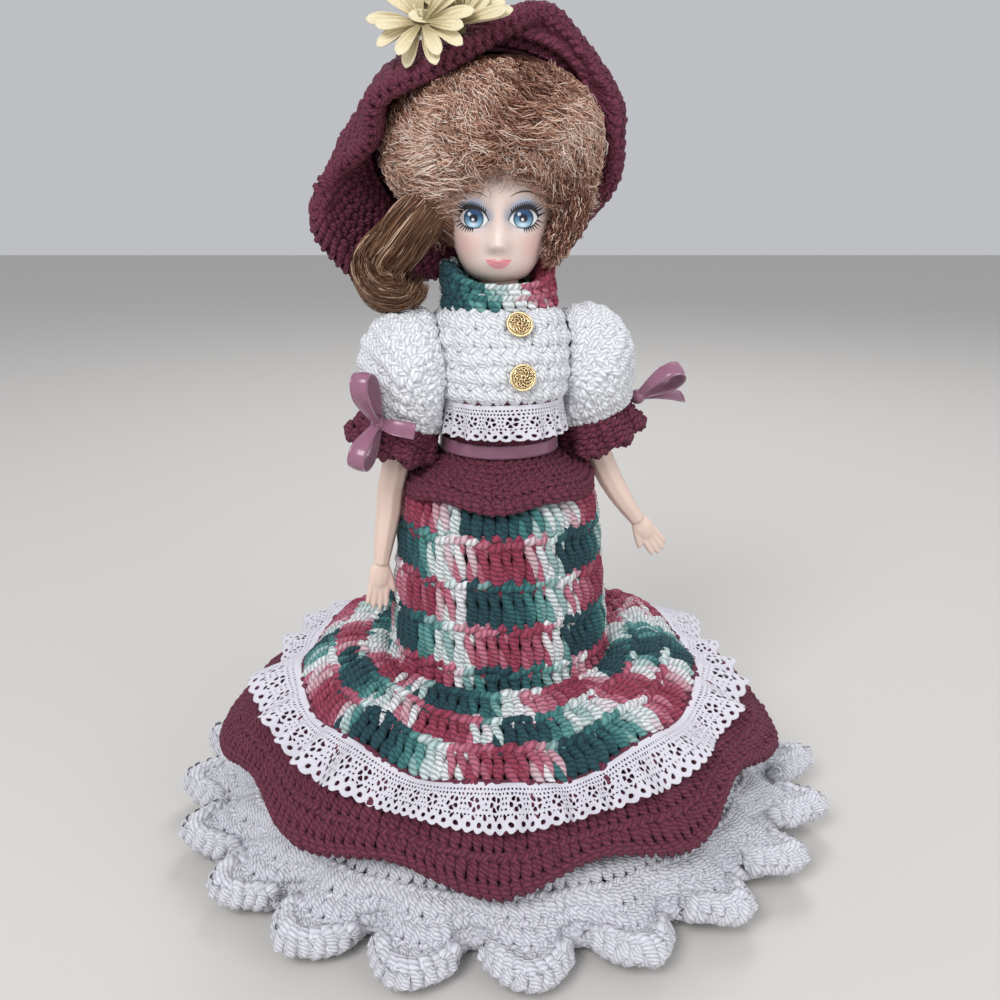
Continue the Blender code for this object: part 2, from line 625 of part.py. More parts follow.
def make_leg(name, side, parent):
    ankle = FOOT_CLEAR + LEG_RADIUS * 0.66
    stations = [(Vector((side * LEG_OUT, 0, HIP_HEIGHT + HIP_RADIUS * 0.97)), LEG_RADIUS * 0.22),
                (Vector((side * LEG_OUT, 0, HIP_HEIGHT + HIP_RADIUS * 0.80)), LEG_RADIUS * 0.60),
                (Vector((side * LEG_OUT, 0, HIP_HEIGHT + HIP_RADIUS * 0.45)), LEG_RADIUS * 0.90)]
    for k in range(8):
        out, radius = eased(LEG_SHARES, k / 7)
        stations.append((Vector((side * (LEG_OUT + out * LEG_RADIUS), 0, between(HIP_HEIGHT, ankle, k / 7))),
                         radius * LEG_RADIUS))
    leg = tube(name, stations, sides=2, samples=16)
    x = side * LEG_OUT
    sole = FOOT_CLEAR + LEG_RADIUS * 0.36
    foot = tube(name + "_foot", [
        (Vector((x, LEG_RADIUS * 0.60, sole + LEG_RADIUS * 0.06)), LEG_RADIUS * 0.34),
        (Vector((x, LEG_RADIUS * 0.10, sole + LEG_RADIUS * 0.14)), LEG_RADIUS * 0.48),
        (Vector((x, -FOOT_LENGTH * 0.40, sole + LEG_RADIUS * 0.06)), LEG_RADIUS * 0.42),
        (Vector((x, -FOOT_LENGTH * 0.74, sole)), LEG_RADIUS * 0.24)], sides=1, samples=7)
    peg = rod(name + "_peg", PEG_RADIUS, (side * LEG_OUT, 0, HIP_HEIGHT), (side * HIP_WEB * 0.2, 0, HIP_HEIGHT))
    inner = side * (HIP_WEB + GAP * 2)
    flat = block("inner_flat", (inner - OVERRUN if side > 0 else inner, -OVERRUN, 0),
                 (inner if side > 0 else inner + OVERRUN, OVERRUN, HIP_HEIGHT + OVERRUN))
    leg = cut(leg, cutter(flat))
    return finish(joined(leg, foot, peg), "vinyl", parent)


# Hair


def hair_path(rows, radius, taper):
    middle = Vector((HAIR_MIDDLE[0], HAIR_MIDDLE[1] - HAIR_HALF_DEPTH, HAIR_MIDDLE[2]))
    stations = []
    for k, (out, forward, drop) in enumerate(rows):
        along = k / (len(rows) - 1)
        place = middle + Vector((out, -forward, -drop)) * HAIR_HALF_WIDTH
        stations.append((place, radius * (1 - taper * abs(2 * along - 1) ** 3)))
    return stations


def squared(share):
    """Fuller corners for a round outline."""
    return math.copysign(abs(share) ** 0.6, share)


def make_hair(parent):
    head_room = grown(head_form("head_clearance", 16, 12), SEAT)
    window = rod("face_window", 1, (0, 0, 0), (0, 0, 1), 24)
    for vertex in window.data.vertices:
        x, y, z = vertex.co
        vertex.co = (squared(x) * FACE_HALF_WIDTH, -OVERRUN * 3 + z * (OVERRUN * 3 - HEAD_HALF_DEPTH * 0.42),
                     squared(y) * (HAIRLINE - CHIN_HEIGHT + SEAT) / 2 + (HAIRLINE + CHIN_HEIGHT - SEAT) / 2)
    fix_facing(window)
    sizes = Vector((HAIR_HALF_WIDTH, HAIR_HALF_DEPTH, HAIR_HALF_TALL))
    cap = cut(ball("hair_cap", sizes, HAIR_MIDDLE, 20, 14), cutter(head_room), cutter(window))
    finish(cap, "hair", parent)
    cap_room = cutter(ball("hair_clearance", sizes + Vector((GAP, GAP, GAP)) * 2, HAIR_MIDDLE, 20, 14))
    for name, rows, radius, taper, samples in (
            ("fringe", FRINGE_SHARES, FRINGE_RADIUS, 0.45, 13),
            ("side_curl", CURL_SHARES, CURL_RADIUS, 0.35, 15),
            ("side_lock", LOCK_SHARES, LOCK_RADIUS, 0.40, 8)):
        finish(cut(tube(name, hair_path(rows, radius, taper), samples=samples), cap_room), "hair", parent)


def fix_facing(obj):
    work = bmesh.new()
    work.from_mesh(obj.data)
    bmesh.ops.recalc_face_normals(work, faces=work.faces)
    work.to_mesh(obj.data)
    work.free()


# Hat


def hat_frame():
    axis = Vector(HAT_AXIS_SHARES).normalized()
    right = Vector((1, 0, 0))
    right = (right - axis * right.dot(axis)).normalized()
    return right, right.cross(axis), axis


def crown_point(place, turn, out=0.0):
    """A point of the crown: place 0 is the middle of the dome and 1 is its rim."""
    right, up, axis = hat_frame()
    around, along = eased(DOME_SHARES, place)
    ray = right * math.cos(turn) * around + up * math.sin(turn) * around + axis * along
    sizes = (CROWN_HALF_WIDTH + out, CROWN_HALF_DEPTH + out, CROWN_HALF_TALL + out)
    return Vector(CROWN_MIDDLE) + Vector(c * s for c, s in zip(ray, sizes))


def brim_edge(turn):
    """Where the brim's edge lies at a turn round the hat axis."""
    quarters = (math.pi - turn) / (math.pi / 2)
    while quarters >= 3.05:
        quarters -= 4
    while quarters < -0.95:
        quarters += 4
    first = BRIM_EDGE_SHARES[0]
    x, y, z = eased(BRIM_EDGE_SHARES + [(first[0] + 4, *first[1:])], quarters)
    return Vector(CROWN_MIDDLE) + Vector((x, y, z)) * BRIM_LENGTH


def brim_point(place, turn):
    _, _, axis = hat_frame()
    start = crown_point(1, turn, YARN_WALL + SEAT)
    end = brim_edge(turn)
    sag = math.sin(math.pi * place) * BRIM_LENGTH * 0.05
    return start.lerp(end, place) + axis * sag


def make_daisy(name, middle, facing, calyx_share, roll):
    """A flower of lobed petals, cupped, with its calyx behind."""
    right = facing.cross(Vector((0, 0, 1))).normalized()
    up = right.cross(facing)

    def point(place, turn):
        lobe = abs(math.cos(PETAL_COUNT * (turn + roll) / 2)) ** 0.6
        reach = PETAL_LENGTH * place * (1 - 0.62 * place * (1 - lobe))
        cup = PETAL_LENGTH * 0.28 * place ** 1.6
        return middle + right * math.cos(turn) * reach + up * math.sin(turn) * reach + facing * cup

    flower = turned_sheet(name, point, 2, PETAL_COUNT * 4, PETAL_WALL)
    back, front = middle - facing * PETAL_LENGTH * calyx_share, middle + facing * PETAL_WALL
    calyx = rod(name + "_calyx", CALYX_RADIUS, back, front, 8)
    return joined(flower, calyx)


def make_hat(parent):
    finish(turned_sheet("hat_crown", crown_point, 5, 24, YARN_WALL), "maroon_yarn", parent)
    finish(turned_sheet("hat_brim", brim_point, 3, 48, YARN_WALL), "maroon_yarn", parent)
    lace_out = (YARN_WALL + LACE_WALL) / 2 + GAP * 2
    lace_share = HAT_LACE_WIDTH / CROWN_HALF_WIDTH
    ribbon_share = RIBBON_WIDTH / CROWN_HALF_WIDTH
    band_foot = 0.90

    def lace_point(place, turn):
        return crown_point(between(band_foot - lace_share, band_foot, place), turn, lace_out)

    def ribbon_point(place, turn):
        top = band_foot - lace_share - ribbon_share - GAP / CROWN_HALF_WIDTH
        return crown_point(between(top, top + ribbon_share, place), turn, lace_out)

    finish(turned_sheet("hat_lace", lace_point, 2, 24, LACE_WALL), "lace", parent)
    finish(turned_sheet("hat_ribbon", ribbon_point, 1, 24, RIBBON_WALL), "blue_satin", parent)
    facing = Vector(DAISY_FACING).normalized()
    sideways = facing.cross(Vector((0, 0, 1))).normalized()
    for number, (out, right, calyx_share, roll) in enumerate(DAISY_SHARES, 1):
        middle = crown_point(band_foot, DAISY_TURN, lace_out) + (facing * out + sideways * right) * PETAL_LENGTH
        finish(make_daisy(f"daisy_{number}", middle, facing, calyx_share, roll), "silk", parent)


# Collar, bodice, buttons, waist


def collar_point(place, turn):
    side = (1 + math.sin(turn)) / 2
    top = between(COLLAR_FRONT_HEIGHT, COLLAR_BACK_HEIGHT, min(1.0, side * 1.9) ** 1.5)
    radius = COLLAR_RADIUS * between(0.97, 1.0, place)
    return Vector((radius * math.cos(turn), radius * math.sin(turn), between(top, COLLAR_FOOT, place)))


def bodice_point(place, turn):
    """place 0 is the top of the bodice and 1 its foot."""
    width, front, back = eased(BODICE_SHARES, 1 - place)
    x, y = oval(turn, BODICE_HALF_WIDTH * width, BODICE_FRONT * front, BODICE_BACK * back, 2.4)
    return Vector((x, y, between(BODICE_TOP, BODICE_FOOT, place)))


def waist_point(place, turn):
    """The waistband: place 0 lies under the bodice and 1 at the waist."""
    top = bodice_point(1, turn) * 0.96
    slim = between(1.0, WAIST_RADIUS / BODICE_HALF_WIDTH, min(1.0, place * 1.5) ** 0.8)
    height = between(BODICE_FOOT - GAP * 2, WAISTBAND_FOOT, place)
    round_share = place
    x = between(top.x * slim, WAIST_RADIUS * math.cos(turn), round_share)
    y = between(top.y * slim, WAIST_RADIUS * math.sin(turn), round_share)
    return Vector((x, y, height))


def outward(point, place, turn, out):
    """A point of a wall, moved out along the wall's own normal."""
    step = 1e-3
    here = point(place, turn)
    along = point(min(1.0, place + step), turn) - point(max(0.0, place - step), turn)
    around = point(place, turn + step) - point(place, turn - step)
    normal = around.cross(along)
    if normal.dot(Vector((here.x, here.y, 0))) < 0 and abs(normal.normalized().z) < 0.9:
        normal = -normal
    if abs(normal.normalized().z) >= 0.9 and normal.z < 0:
        normal = -normal
    return here + normal.normalized() * out


def make_bust(parent):
    finish(turned_sheet("collar", collar_point, 2, 24, YARN_WALL), "mixed_yarn", parent)
    bodice = turned_sheet("bodice", bodice_point, 5, 28, YARN_WALL)
    arms = rod("armholes", ARMHOLE_RADIUS, (-BODICE_HALF_WIDTH * 2, 0, SHOULDER_HEIGHT),
               (BODICE_HALF_WIDTH * 2, 0, SHOULDER_HEIGHT), 20)
    finish(cut(bodice, cutter(arms)), "white_yarn", parent)
    for name, drop in zip(("button_top", "button_bottom"), BUTTON_DROPS):
        share = drop / (BODICE_TOP - BODICE_FOOT)
        middle = outward(bodice_point, share, FRONT, YARN_WALL / 2 + BUTTON_WALL + SEAT)
        facing = (middle - bodice_point(share, FRONT)).normalized()
        button = rod(name, BUTTON_RADIUS, (0, 0, -BUTTON_WALL / 2), (0, 0, BUTTON_WALL / 2), 16)
        shank = rod(name + "_shank", BUTTON_RADIUS * 0.3, (0, 0, GAP - BUTTON_WALL - SEAT), (0, 0, 0), 6)
        button = joined(button, shank)
        button.data.transform(Matrix.Translation(middle + Vector((BUTTON_OUT, 0, 0)))
                              @ Vector((0, 0, 1)).rotation_difference(facing).to_matrix().to_4x4())
        bevel = button.modifiers.new("rounded rim", "BEVEL")
        bevel.width = BUTTON_WALL * 0.3
        bevel.segments = 1
        finish(settled(button), "gold", parent)


def make_waist(parent):
    finish(turned_sheet("waistband", waist_point, 3, 28, YARN_WALL), "maroon_yarn", parent)

    def lace_point(place, turn):
        flare = SEAT + BUST_LACE_DROP * place * (0.22 + 0.06 * math.sin(turn * 14))
        out = (YARN_WALL + LACE_WALL) / 2 + GAP + flare * math.sin(turn) ** 6
        wall = waist_point(0, turn)
        wall += Vector((wall.x, wall.y, 0)).normalized() * (out + GAP)
        wall.z = BODICE_FOOT - SEAT * 1.2 - BUST_LACE_DROP * place
        return wall

    finish(turned_sheet("bust_lace", lace_point, 1, 56, LACE_WALL), "lace", parent)

    def ribbon_point(place, turn):
        ribbon_share = RIBBON_WIDTH / (BODICE_FOOT - WAISTBAND_FOOT)
        return outward(waist_point, between(0.98 - ribbon_share, 0.98, place), turn,
                       (YARN_WALL + RIBBON_WALL) / 2 + GAP * 1.5)

    finish(turned_sheet("waist_ribbon", ribbon_point, 1, 32, RIBBON_WALL), "mauve_satin", parent)


def peplum_point(place, turn):
    radius, height = eased(PEPLUM_SHARES, place)
    ripple = 1 + 0.035 * place * math.sin(7 * turn + 0.6)
    half_width = between(WAIST_RADIUS + SEAT / 2, PEPLUM_HALF_WIDTH, radius) * (1 + (ripple - 1) * abs(math.sin(turn)))
    half_depth = between(WAIST_RADIUS + SEAT / 2, PEPLUM_HALF_DEPTH, radius) * ripple
    lift = YARN_WALL * 0.5 * place * math.sin(5 * turn)
    return Vector((half_width * math.cos(turn), half_depth * math.sin(turn),
                   between(PEPLUM_FOOT, PEPLUM_TOP, height) + lift))


# Sleeves, cuffs and bows


def sleeve_point(side, place, turn):
    """A puffed tube that bends from the armhole, which faces out, to the mouth, which faces down."""
    out, lift, half_tall, half_deep = eased(SLEEVE_SHARES, place)
    lean = between(math.pi / 2, CUFF_TILT, min(1.0, place * 1.05))
    gather = 1 + 0.03 * math.sin(9 * turn) * math.sin(math.pi * place)
    tall = half_tall * SLEEVE_HALF_WIDTH * gather * math.sin(turn)
    x = between(SLEEVE_PLANE, SLEEVE_OUT, out) + tall * math.cos(lean)
    z = between(SLEEVE_FOOT, SLEEVE_MIDDLE, lift) + tall * math.sin(lean)
    x = max(x, SLEEVE_PLANE + YARN_WALL / 2 * min(1.0, place * 4))
    return Vector((side * x, half_deep * SLEEVE_HALF_DEPTH * gather * math.cos(turn), z))


def cuff_frame(side):
    """The cuff stands square to its own axis, which leans out as the arm does."""
    return Matrix.Translation((side * SLEEVE_OUT, 0, SLEEVE_FOOT)) @ Matrix.Rotation(-side * CUFF_TILT, 4, "Y")


def ribbon_loop(name, length, lift, frame):
    """A bow's loop: a strip of ribbon bent back on itself, reaching along +X."""
    def point(place, turn):
        reach = (1 - math.cos(turn)) / 2
        z = lift * math.sin(turn) * between(0.35, 1.0, reach)
        return Vector((length * reach, between(RIBBON_WIDTH / 2, -RIBBON_WIDTH / 2, place), z))

    strip = turned_sheet(name, point, 1, 14, RIBBON_WALL)
    strip.data.transform(frame)
    return strip


def make_bow(name, knot_place, ways, facing, parent):
    """A satin bow: a knot, and a loop or a tail along each way."""
    knot = ball(name, (KNOT_RADIUS, KNOT_RADIUS, KNOT_RADIUS), knot_place, 10, 7)
    pieces = []
    for kind, way, length_share in ways:
        along = Vector(way).normalized()
        across = facing.cross(along).normalized()
        frame = Matrix((along, across, along.cross(across))).transposed().to_4x4()
        frame = Matrix.Translation(Vector(knot_place) + along * KNOT_RADIUS * 0.45) @ frame
        if kind == "loop":
            pieces.append(ribbon_loop(f"{name}_loop", LOOP_LENGTH * length_share, LOOP_OPEN, frame))
        else:
            tail = block(f"{name}_tail", (0, -RIBBON_WIDTH * 0.45, -RIBBON_WALL / 2),
                         (TAIL_LENGTH * length_share, RIBBON_WIDTH * 0.45, RIBBON_WALL / 2))
            tail.data.transform(frame)
            pieces.append(tail)
    return finish(joined(knot, *pieces), "mauve_satin", parent)


def make_sleeve(word, side, parent):
    def point(place, turn):
        return sleeve_point(side, place, turn)

    sleeve = turned_sheet(f"sleeve_{word}", point, 6, SLEEVE_STEPS, YARN_WALL)
    finish(sleeve, "white_yarn", parent)
    frame = cuff_frame(side)

    def cuff_radius(depth, turn):
        flared = between(CUFF_TOP_RADIUS, CUFF_RIM_RADIUS, depth / CUFF_DROP)
        return flared * (1 - 0.12 * depth / CUFF_DROP * math.cos(8 * turn))

    def cuff_point(place, turn):
        radius = cuff_radius(CUFF_DROP * place, turn)
        return frame @ Vector((radius * math.cos(turn), radius * math.sin(turn), -SEAT * 1.3 - CUFF_DROP * place))

    def band_point(place, turn):
        depth = RIBBON_WIDTH * place
        radius = cuff_radius(depth + SEAT, turn) + (YARN_WALL + RIBBON_WALL) / 2 + GAP * 2
        return frame @ Vector((radius * math.cos(turn), radius * math.sin(turn), -SEAT * 1.3 - depth))

    finish(turned_sheet(f"cuff_{word}", cuff_point, 2, 28, YARN_WALL), "maroon_yarn", parent)
    finish(turned_sheet(f"cuff_ribbon_{word}", band_point, 1, 28, RIBBON_WALL), "mauve_satin", parent)


def make_bows(parents):
    band = between(CUFF_TOP_RADIUS, CUFF_RIM_RADIUS, 0.3) + YARN_WALL / 2 + RIBBON_WALL + GAP * 4
    for word, side, turn, ways in BOW_SHARES:
        spoke = Vector((math.cos(turn), math.sin(turn), 0))
        knot = cuff_frame(side) @ (spoke * (band + KNOT_RADIUS) - Vector((0, 0, RIBBON_WIDTH / 2)))
        facing = (cuff_frame(side).to_3x3() @ spoke).normalized()
        make_bow(f"bow_{word}", knot, ways, facing, parents[word])


# Skirt tiers


def backness(turn):
    """0 at the front, 1 at the back, rising soon round the sides."""
    return ((1 + math.sin(turn)) / 2) ** 0.45


def spread(radius, turn, height):
    """A point at a radius, widened sideways as the skirt spreads."""
    wide = 1 + OVAL_SHARE * max(0.0, min(1.0, (radius - FLARE_RADIUS) / (FLOUNCE_RADIUS - FLARE_RADIUS)))
    return Vector((radius * wide * math.cos(turn), radius * math.sin(turn), height))


def tube_point(place, turn):
    radius, height = eased(TUBE_SHARES, place)
    return spread(between(WAIST_RADIUS + SEAT / 2, TUBE_RADIUS, radius), turn, between(TUBE_FOOT, TUBE_TOP, height))


def flare_point(place, turn):
    inner = TUBE_RADIUS + YARN_WALL / 2 + SEAT
    edge_height = between(FLARE_FRONT_HEIGHT, FLARE_BACK_HEIGHT, backness(turn))
    inner_height = FLARE_INNER_HEIGHT + YARN_WALL
    puff = FLARE_BULGE * math.sin(math.pi * place) * backness(turn)
    fold = YARN_WALL * 0.8 * place * math.sin(SKIRT_WAVES * turn + WAVE_START)
    return spread(between(inner, FLARE_RADIUS, place), turn, between(inner_height, edge_height, place) + puff + fold)


def flounce_point(place, turn):
    start = flare_point(1, turn)
    reach = Vector((start.x, start.y, 0)).length
    edge_height = between(FLOUNCE_FRONT_HEIGHT, FLOUNCE_BACK_HEIGHT, backness(turn))
    wave = FLOUNCE_WAVE * math.sin(SKIRT_WAVES * turn + WAVE_START)
    share = (GAP * 2 / (FLOUNCE_RADIUS - FLARE_RADIUS)) * (1 - place) + place
    widest = FLOUNCE_RADIUS * (1 + OVAL_SHARE * math.cos(turn) ** 2)
    radius = reach + (widest - FLARE_RADIUS) * share + wave * place ** 1.5
    height = between(start.z, edge_height, share ** 1.15) - wave * 0.9 * place ** 2
    return Vector((radius / reach * start.x, radius / reach * start.y, height))


def petticoat_point(place, turn):
    radius, height = eased(PETTICOAT_SHARES, place)
    inside = between(WAIST_RADIUS, TUBE_RADIUS, 0.75) - YARN_WALL - GAP * 3
    return spread(between(inside, PETTICOAT_RADIUS, radius), turn, between(PETTICOAT_HEM, PETTICOAT_TOP, height))


def ruffle_point(place, turn):
    below = FLAT_DEPTH + RUFFLE_WALL
    fold = RUFFLE_WAVE * math.sin(RUFFLE_FOLDS * turn) * (0.12 + 0.88 * place)
    start = (GAP * 2 / (RUFFLE_RADIUS - PETTICOAT_RADIUS)) * (1 - place) + place
    radius = between(PETTICOAT_RADIUS, RUFFLE_RADIUS, start) + fold
    return spread(radius, turn, between(PETTICOAT_HEM - GAP * 2, -below, start ** 1.1))


def make_skirt(parent):
    finish(turned_sheet("peplum", peplum_point, 3, 35, YARN_WALL), "maroon_yarn", parent)
    finish(turned_sheet("skirt_tube", tube_point, 6, 32, YARN_WALL), "mixed_yarn", parent)
    finish(turned_sheet("skirt_flare", flare_point, 3, SKIRT_STEPS, YARN_WALL), "mixed_yarn", parent)
    finish(turned_sheet("flounce", flounce_point, 3, SKIRT_STEPS, YARN_WALL), "maroon_yarn", parent)

    def lace_point(place, turn):
        lift = (YARN_WALL + LACE_WALL) / 2 + SEAT * (0.8 + 1.5 * place * (1 + math.sin(LACE_FOLDS * turn)))
        share = SKIRT_LACE_WIDTH / (FLOUNCE_RADIUS - FLARE_RADIUS) * 0.8
        return outward(flounce_point, between(0.06, share, place), turn, lift)

    finish(turned_sheet("skirt_lace", lace_point, 1, SKIRT_STEPS, LACE_WALL), "lace", parent)
    finish(turned_sheet("petticoat", petticoat_point, 4, 24, YARN_WALL), "white_yarn", parent)
    ruffle = turned_sheet("petticoat_ruffle", ruffle_point, 2, RUFFLE_FOLDS * RUFFLE_STEPS_A_FOLD, RUFFLE_WALL)
    for vertex in ruffle.data.vertices:
        vertex.co.z = max(0, vertex.co.z)
    finish(ruffle, "white_yarn", parent)


def main():
    dress = new_empty("dress_frame", (0, 0, 0))
    bust = new_empty("bust_frame", (0, 0, 0), BUST_TURN)
    head = new_empty("neck_axis", (0, 0, NECK_FOOT))
    arms = {}
    for word in ("left", "right"):
        arms[word] = new_empty(f"shoulder_axis_{word}", (0, 0, SHOULDER_HEIGHT), BUST_TURN)
    legs = {word: new_empty(f"hip_axis_{word}", (0, 0, HIP_HEIGHT), BUST_TURN) for word in ("left", "right")}
    make_head(head)
    make_hair(head)
    make_hat(head)
    make_torso(bust)
    make_bust(bust)
    make_waist(bust)
    for word, side in (("left", -1), ("right", 1)):
        make_arm(f"arm_{word}", side, arms[word])
        make_leg(f"leg_{word}", side, legs[word])
        make_sleeve(word, side, arms[word])
    make_bows(arms)
    make_skirt(dress)


main()
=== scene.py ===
"""The looks of the crochet-dressed doll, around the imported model. Metres, +Z up.

The yarn is laid stitch by stitch on the same walls as the solids: each stitch is a few short
strands, swept along the wall. place runs from 0 at a wall's first row to 1 at its last, and
turn goes once round it from +X. Hair, petals, lace and ribbon are built by loops as well.
"""
import json
import math

import bmesh
import bpy
import numpy as np
from mathutils import Matrix, Vector

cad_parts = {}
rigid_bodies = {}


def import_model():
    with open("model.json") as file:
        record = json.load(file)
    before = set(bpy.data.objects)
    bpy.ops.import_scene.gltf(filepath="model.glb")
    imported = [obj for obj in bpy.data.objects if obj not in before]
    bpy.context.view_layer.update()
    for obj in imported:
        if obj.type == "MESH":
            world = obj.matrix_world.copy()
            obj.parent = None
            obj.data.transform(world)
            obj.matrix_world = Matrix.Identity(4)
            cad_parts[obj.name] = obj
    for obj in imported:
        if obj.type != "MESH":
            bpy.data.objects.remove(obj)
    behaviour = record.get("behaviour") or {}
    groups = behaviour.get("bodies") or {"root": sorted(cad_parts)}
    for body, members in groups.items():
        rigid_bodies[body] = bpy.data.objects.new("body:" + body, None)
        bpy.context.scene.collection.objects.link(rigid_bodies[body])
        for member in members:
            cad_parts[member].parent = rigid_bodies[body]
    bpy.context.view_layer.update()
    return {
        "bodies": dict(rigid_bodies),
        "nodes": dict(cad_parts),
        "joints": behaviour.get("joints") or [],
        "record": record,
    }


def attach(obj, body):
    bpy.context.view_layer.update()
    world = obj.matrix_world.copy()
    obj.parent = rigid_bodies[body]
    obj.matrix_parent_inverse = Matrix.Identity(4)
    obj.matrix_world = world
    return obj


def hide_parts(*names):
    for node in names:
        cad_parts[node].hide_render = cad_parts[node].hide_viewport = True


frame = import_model()

MM = 0.001
FULL_TURN = 2 * math.pi
FRONT = -math.pi / 2
SEED = 7

# Sizes of the solids, as in the part's source
GAP = 0.0003
SEAT = 0.0010
YARN_WALL = 0.0030
LACE_WALL = 0.0008
RIBBON_WALL = 0.0007
RIBBON_WIDTH = 0.0050
OVERRUN = 0.0200

# Vinyl torso, with its neck post and bores
BUST_TURN = math.radians(13)
HIP_HEIGHT = 0.1220
HIP_SINK = 0.0100
TORSO_FOOT = HIP_HEIGHT - HIP_SINK
WAISTBAND_FOOT = 0.1555
SHOULDER_UP = 0.0345
SHOULDER_HEIGHT = WAISTBAND_FOOT + SHOULDER_UP
SHOULDER_HALF_WIDTH = 0.0193
NECK_RADIUS = 0.0074
NECK_UP = 0.0200
NECK_FOOT = SHOULDER_HEIGHT + NECK_UP
HIP_RADIUS = 0.0100
HIP_WEB = 0.0042
PEG_RADIUS = 0.0026
PEG_LENGTH = 0.0060

# Vinyl head, whose heights are all measured from the chin
CHIN_UP = 0.0077
CHIN_HEIGHT = NECK_FOOT + CHIN_UP
POST_LENGTH = 0.0143
NECK_TOP = CHIN_HEIGHT + POST_LENGTH
HEAD_TALL = 0.0640
HEAD_HALF_WIDTH = 0.0207
HEAD_HALF_DEPTH = 0.0222
NOSE_RISE = 0.0050
EYE_UP = 0.0223
EYE_HEIGHT = CHIN_HEIGHT + EYE_UP
EYE_SPACING = 0.0086
EYE_SINK = 0.0016
NOSE_UP = 0.0135
NOSE_HEIGHT = CHIN_HEIGHT + NOSE_UP
MOUTH_UP = 0.0075
MOUTH_HEIGHT = CHIN_HEIGHT + MOUTH_UP
LIP_RISE = 0.0014

# Vinyl arms: where the middle of each arm runs, seen from the front, from shoulder to wrist
SHOULDER_OUT = 0.0270
ARM_RADIUS = 0.0055
ARM_DROP = 0.0780
HAND_LENGTH = 0.0160
HAND_WIDTH = 0.0092
HAND_THICKNESS = 0.0046
FINGER_RADIUS = 0.0013
FINGER_LENGTH = 0.0100

# Vinyl legs
LEG_OUT = 0.0100
LEG_RADIUS = 0.0094
FOOT_LENGTH = 0.0230
FOOT_CLEAR = 0.0012

# Hair
HAIR_HALF_WIDTH = 0.0315
HAIR_HALF_DEPTH = 0.0319
HAIR_HALF_TALL = 0.0315
HAIR_UP = 0.0393
HAIR_MIDDLE = (0.0010, 0.0064, CHIN_HEIGHT + HAIR_UP)
HAIRLINE_UP = 0.0353
HAIRLINE = CHIN_HEIGHT + HAIRLINE_UP
FACE_HALF_WIDTH = 0.0198
FRINGE_RADIUS = 0.0048
CURL_RADIUS = 0.0062
LOCK_RADIUS = 0.0044

# Hat: a domed crown on an axis that points back and up, and a floppy brim
CROWN_UP = 0.0443
CROWN_MIDDLE = (-0.0050, 0.0100, CHIN_HEIGHT + CROWN_UP)
CROWN_HALF_WIDTH = 0.0400
CROWN_HALF_DEPTH = 0.0350
CROWN_HALF_TALL = 0.0365
HAT_AXIS_SHARES = (-0.15, 0.84, 0.52)
BRIM_LENGTH = 0.0600
HAT_LACE_WIDTH = 0.0080
PETAL_LENGTH = 0.0150
PETAL_WALL = 0.0007
PETAL_COUNT = 9
CALYX_RADIUS = 0.0022
DAISY_TURN = math.radians(116)
DAISY_FACING = (-0.25, -0.62, 0.70)

# Collar, bodice, buttons
COLLAR_RADIUS = 0.0190
COLLAR_SINK = 0.0019
COLLAR_FOOT = NECK_FOOT - COLLAR_SINK
COLLAR_CLEAR = 0.0032
COLLAR_FRONT_HEIGHT = CHIN_HEIGHT - COLLAR_CLEAR
COLLAR_CLIMB = 0.0090
COLLAR_BACK_HEIGHT = COLLAR_FRONT_HEIGHT + COLLAR_CLIMB
BODICE_DROP = 0.0125
BODICE_FOOT = SHOULDER_HEIGHT - BODICE_DROP
BODICE_CLEAR = 0.0011
BODICE_TOP = COLLAR_FOOT - BODICE_CLEAR
BODICE_HALF_WIDTH = 0.0224
BODICE_FRONT = 0.0255
BODICE_BACK = 0.0185
ARMHOLE_RADIUS = 0.0082
BUTTON_RADIUS = 0.0047
BUTTON_WALL = 0.0013
BUTTON_DROPS = (0.0050, 0.0205)
BUTTON_OUT = 0.0015

# Waist: band, lace, ribbon, peplum
WAIST_RADIUS = 0.0190
BUST_LACE_DROP = 0.0125
PEPLUM_HALF_WIDTH = 0.0345
PEPLUM_HALF_DEPTH = 0.0380
PEPLUM_CLEAR = 0.0021
PEPLUM_TOP = WAISTBAND_FOOT - PEPLUM_CLEAR
PEPLUM_DROP = 0.0119
PEPLUM_FOOT = PEPLUM_TOP - PEPLUM_DROP

# Sleeves, cuffs and bows
SLEEVE_OUT = 0.0370
SLEEVE_HALF_WIDTH = 0.0158
SLEEVE_HALF_DEPTH = 0.0195
SLEEVE_SINK = 0.0008
SLEEVE_MIDDLE = SHOULDER_HEIGHT - SLEEVE_SINK
SLEEVE_DROP = 0.0212
SLEEVE_FOOT = SLEEVE_MIDDLE - SLEEVE_DROP
SLEEVE_PLANE = 0.0252
CUFF_TILT = math.radians(22)
CUFF_TOP_RADIUS = 0.0118
CUFF_RIM_RADIUS = 0.0134
CUFF_DROP = 0.0115
KNOT_RADIUS = 0.0028
LOOP_LENGTH = 0.0180
LOOP_OPEN = 0.0042
TAIL_LENGTH = 0.0130

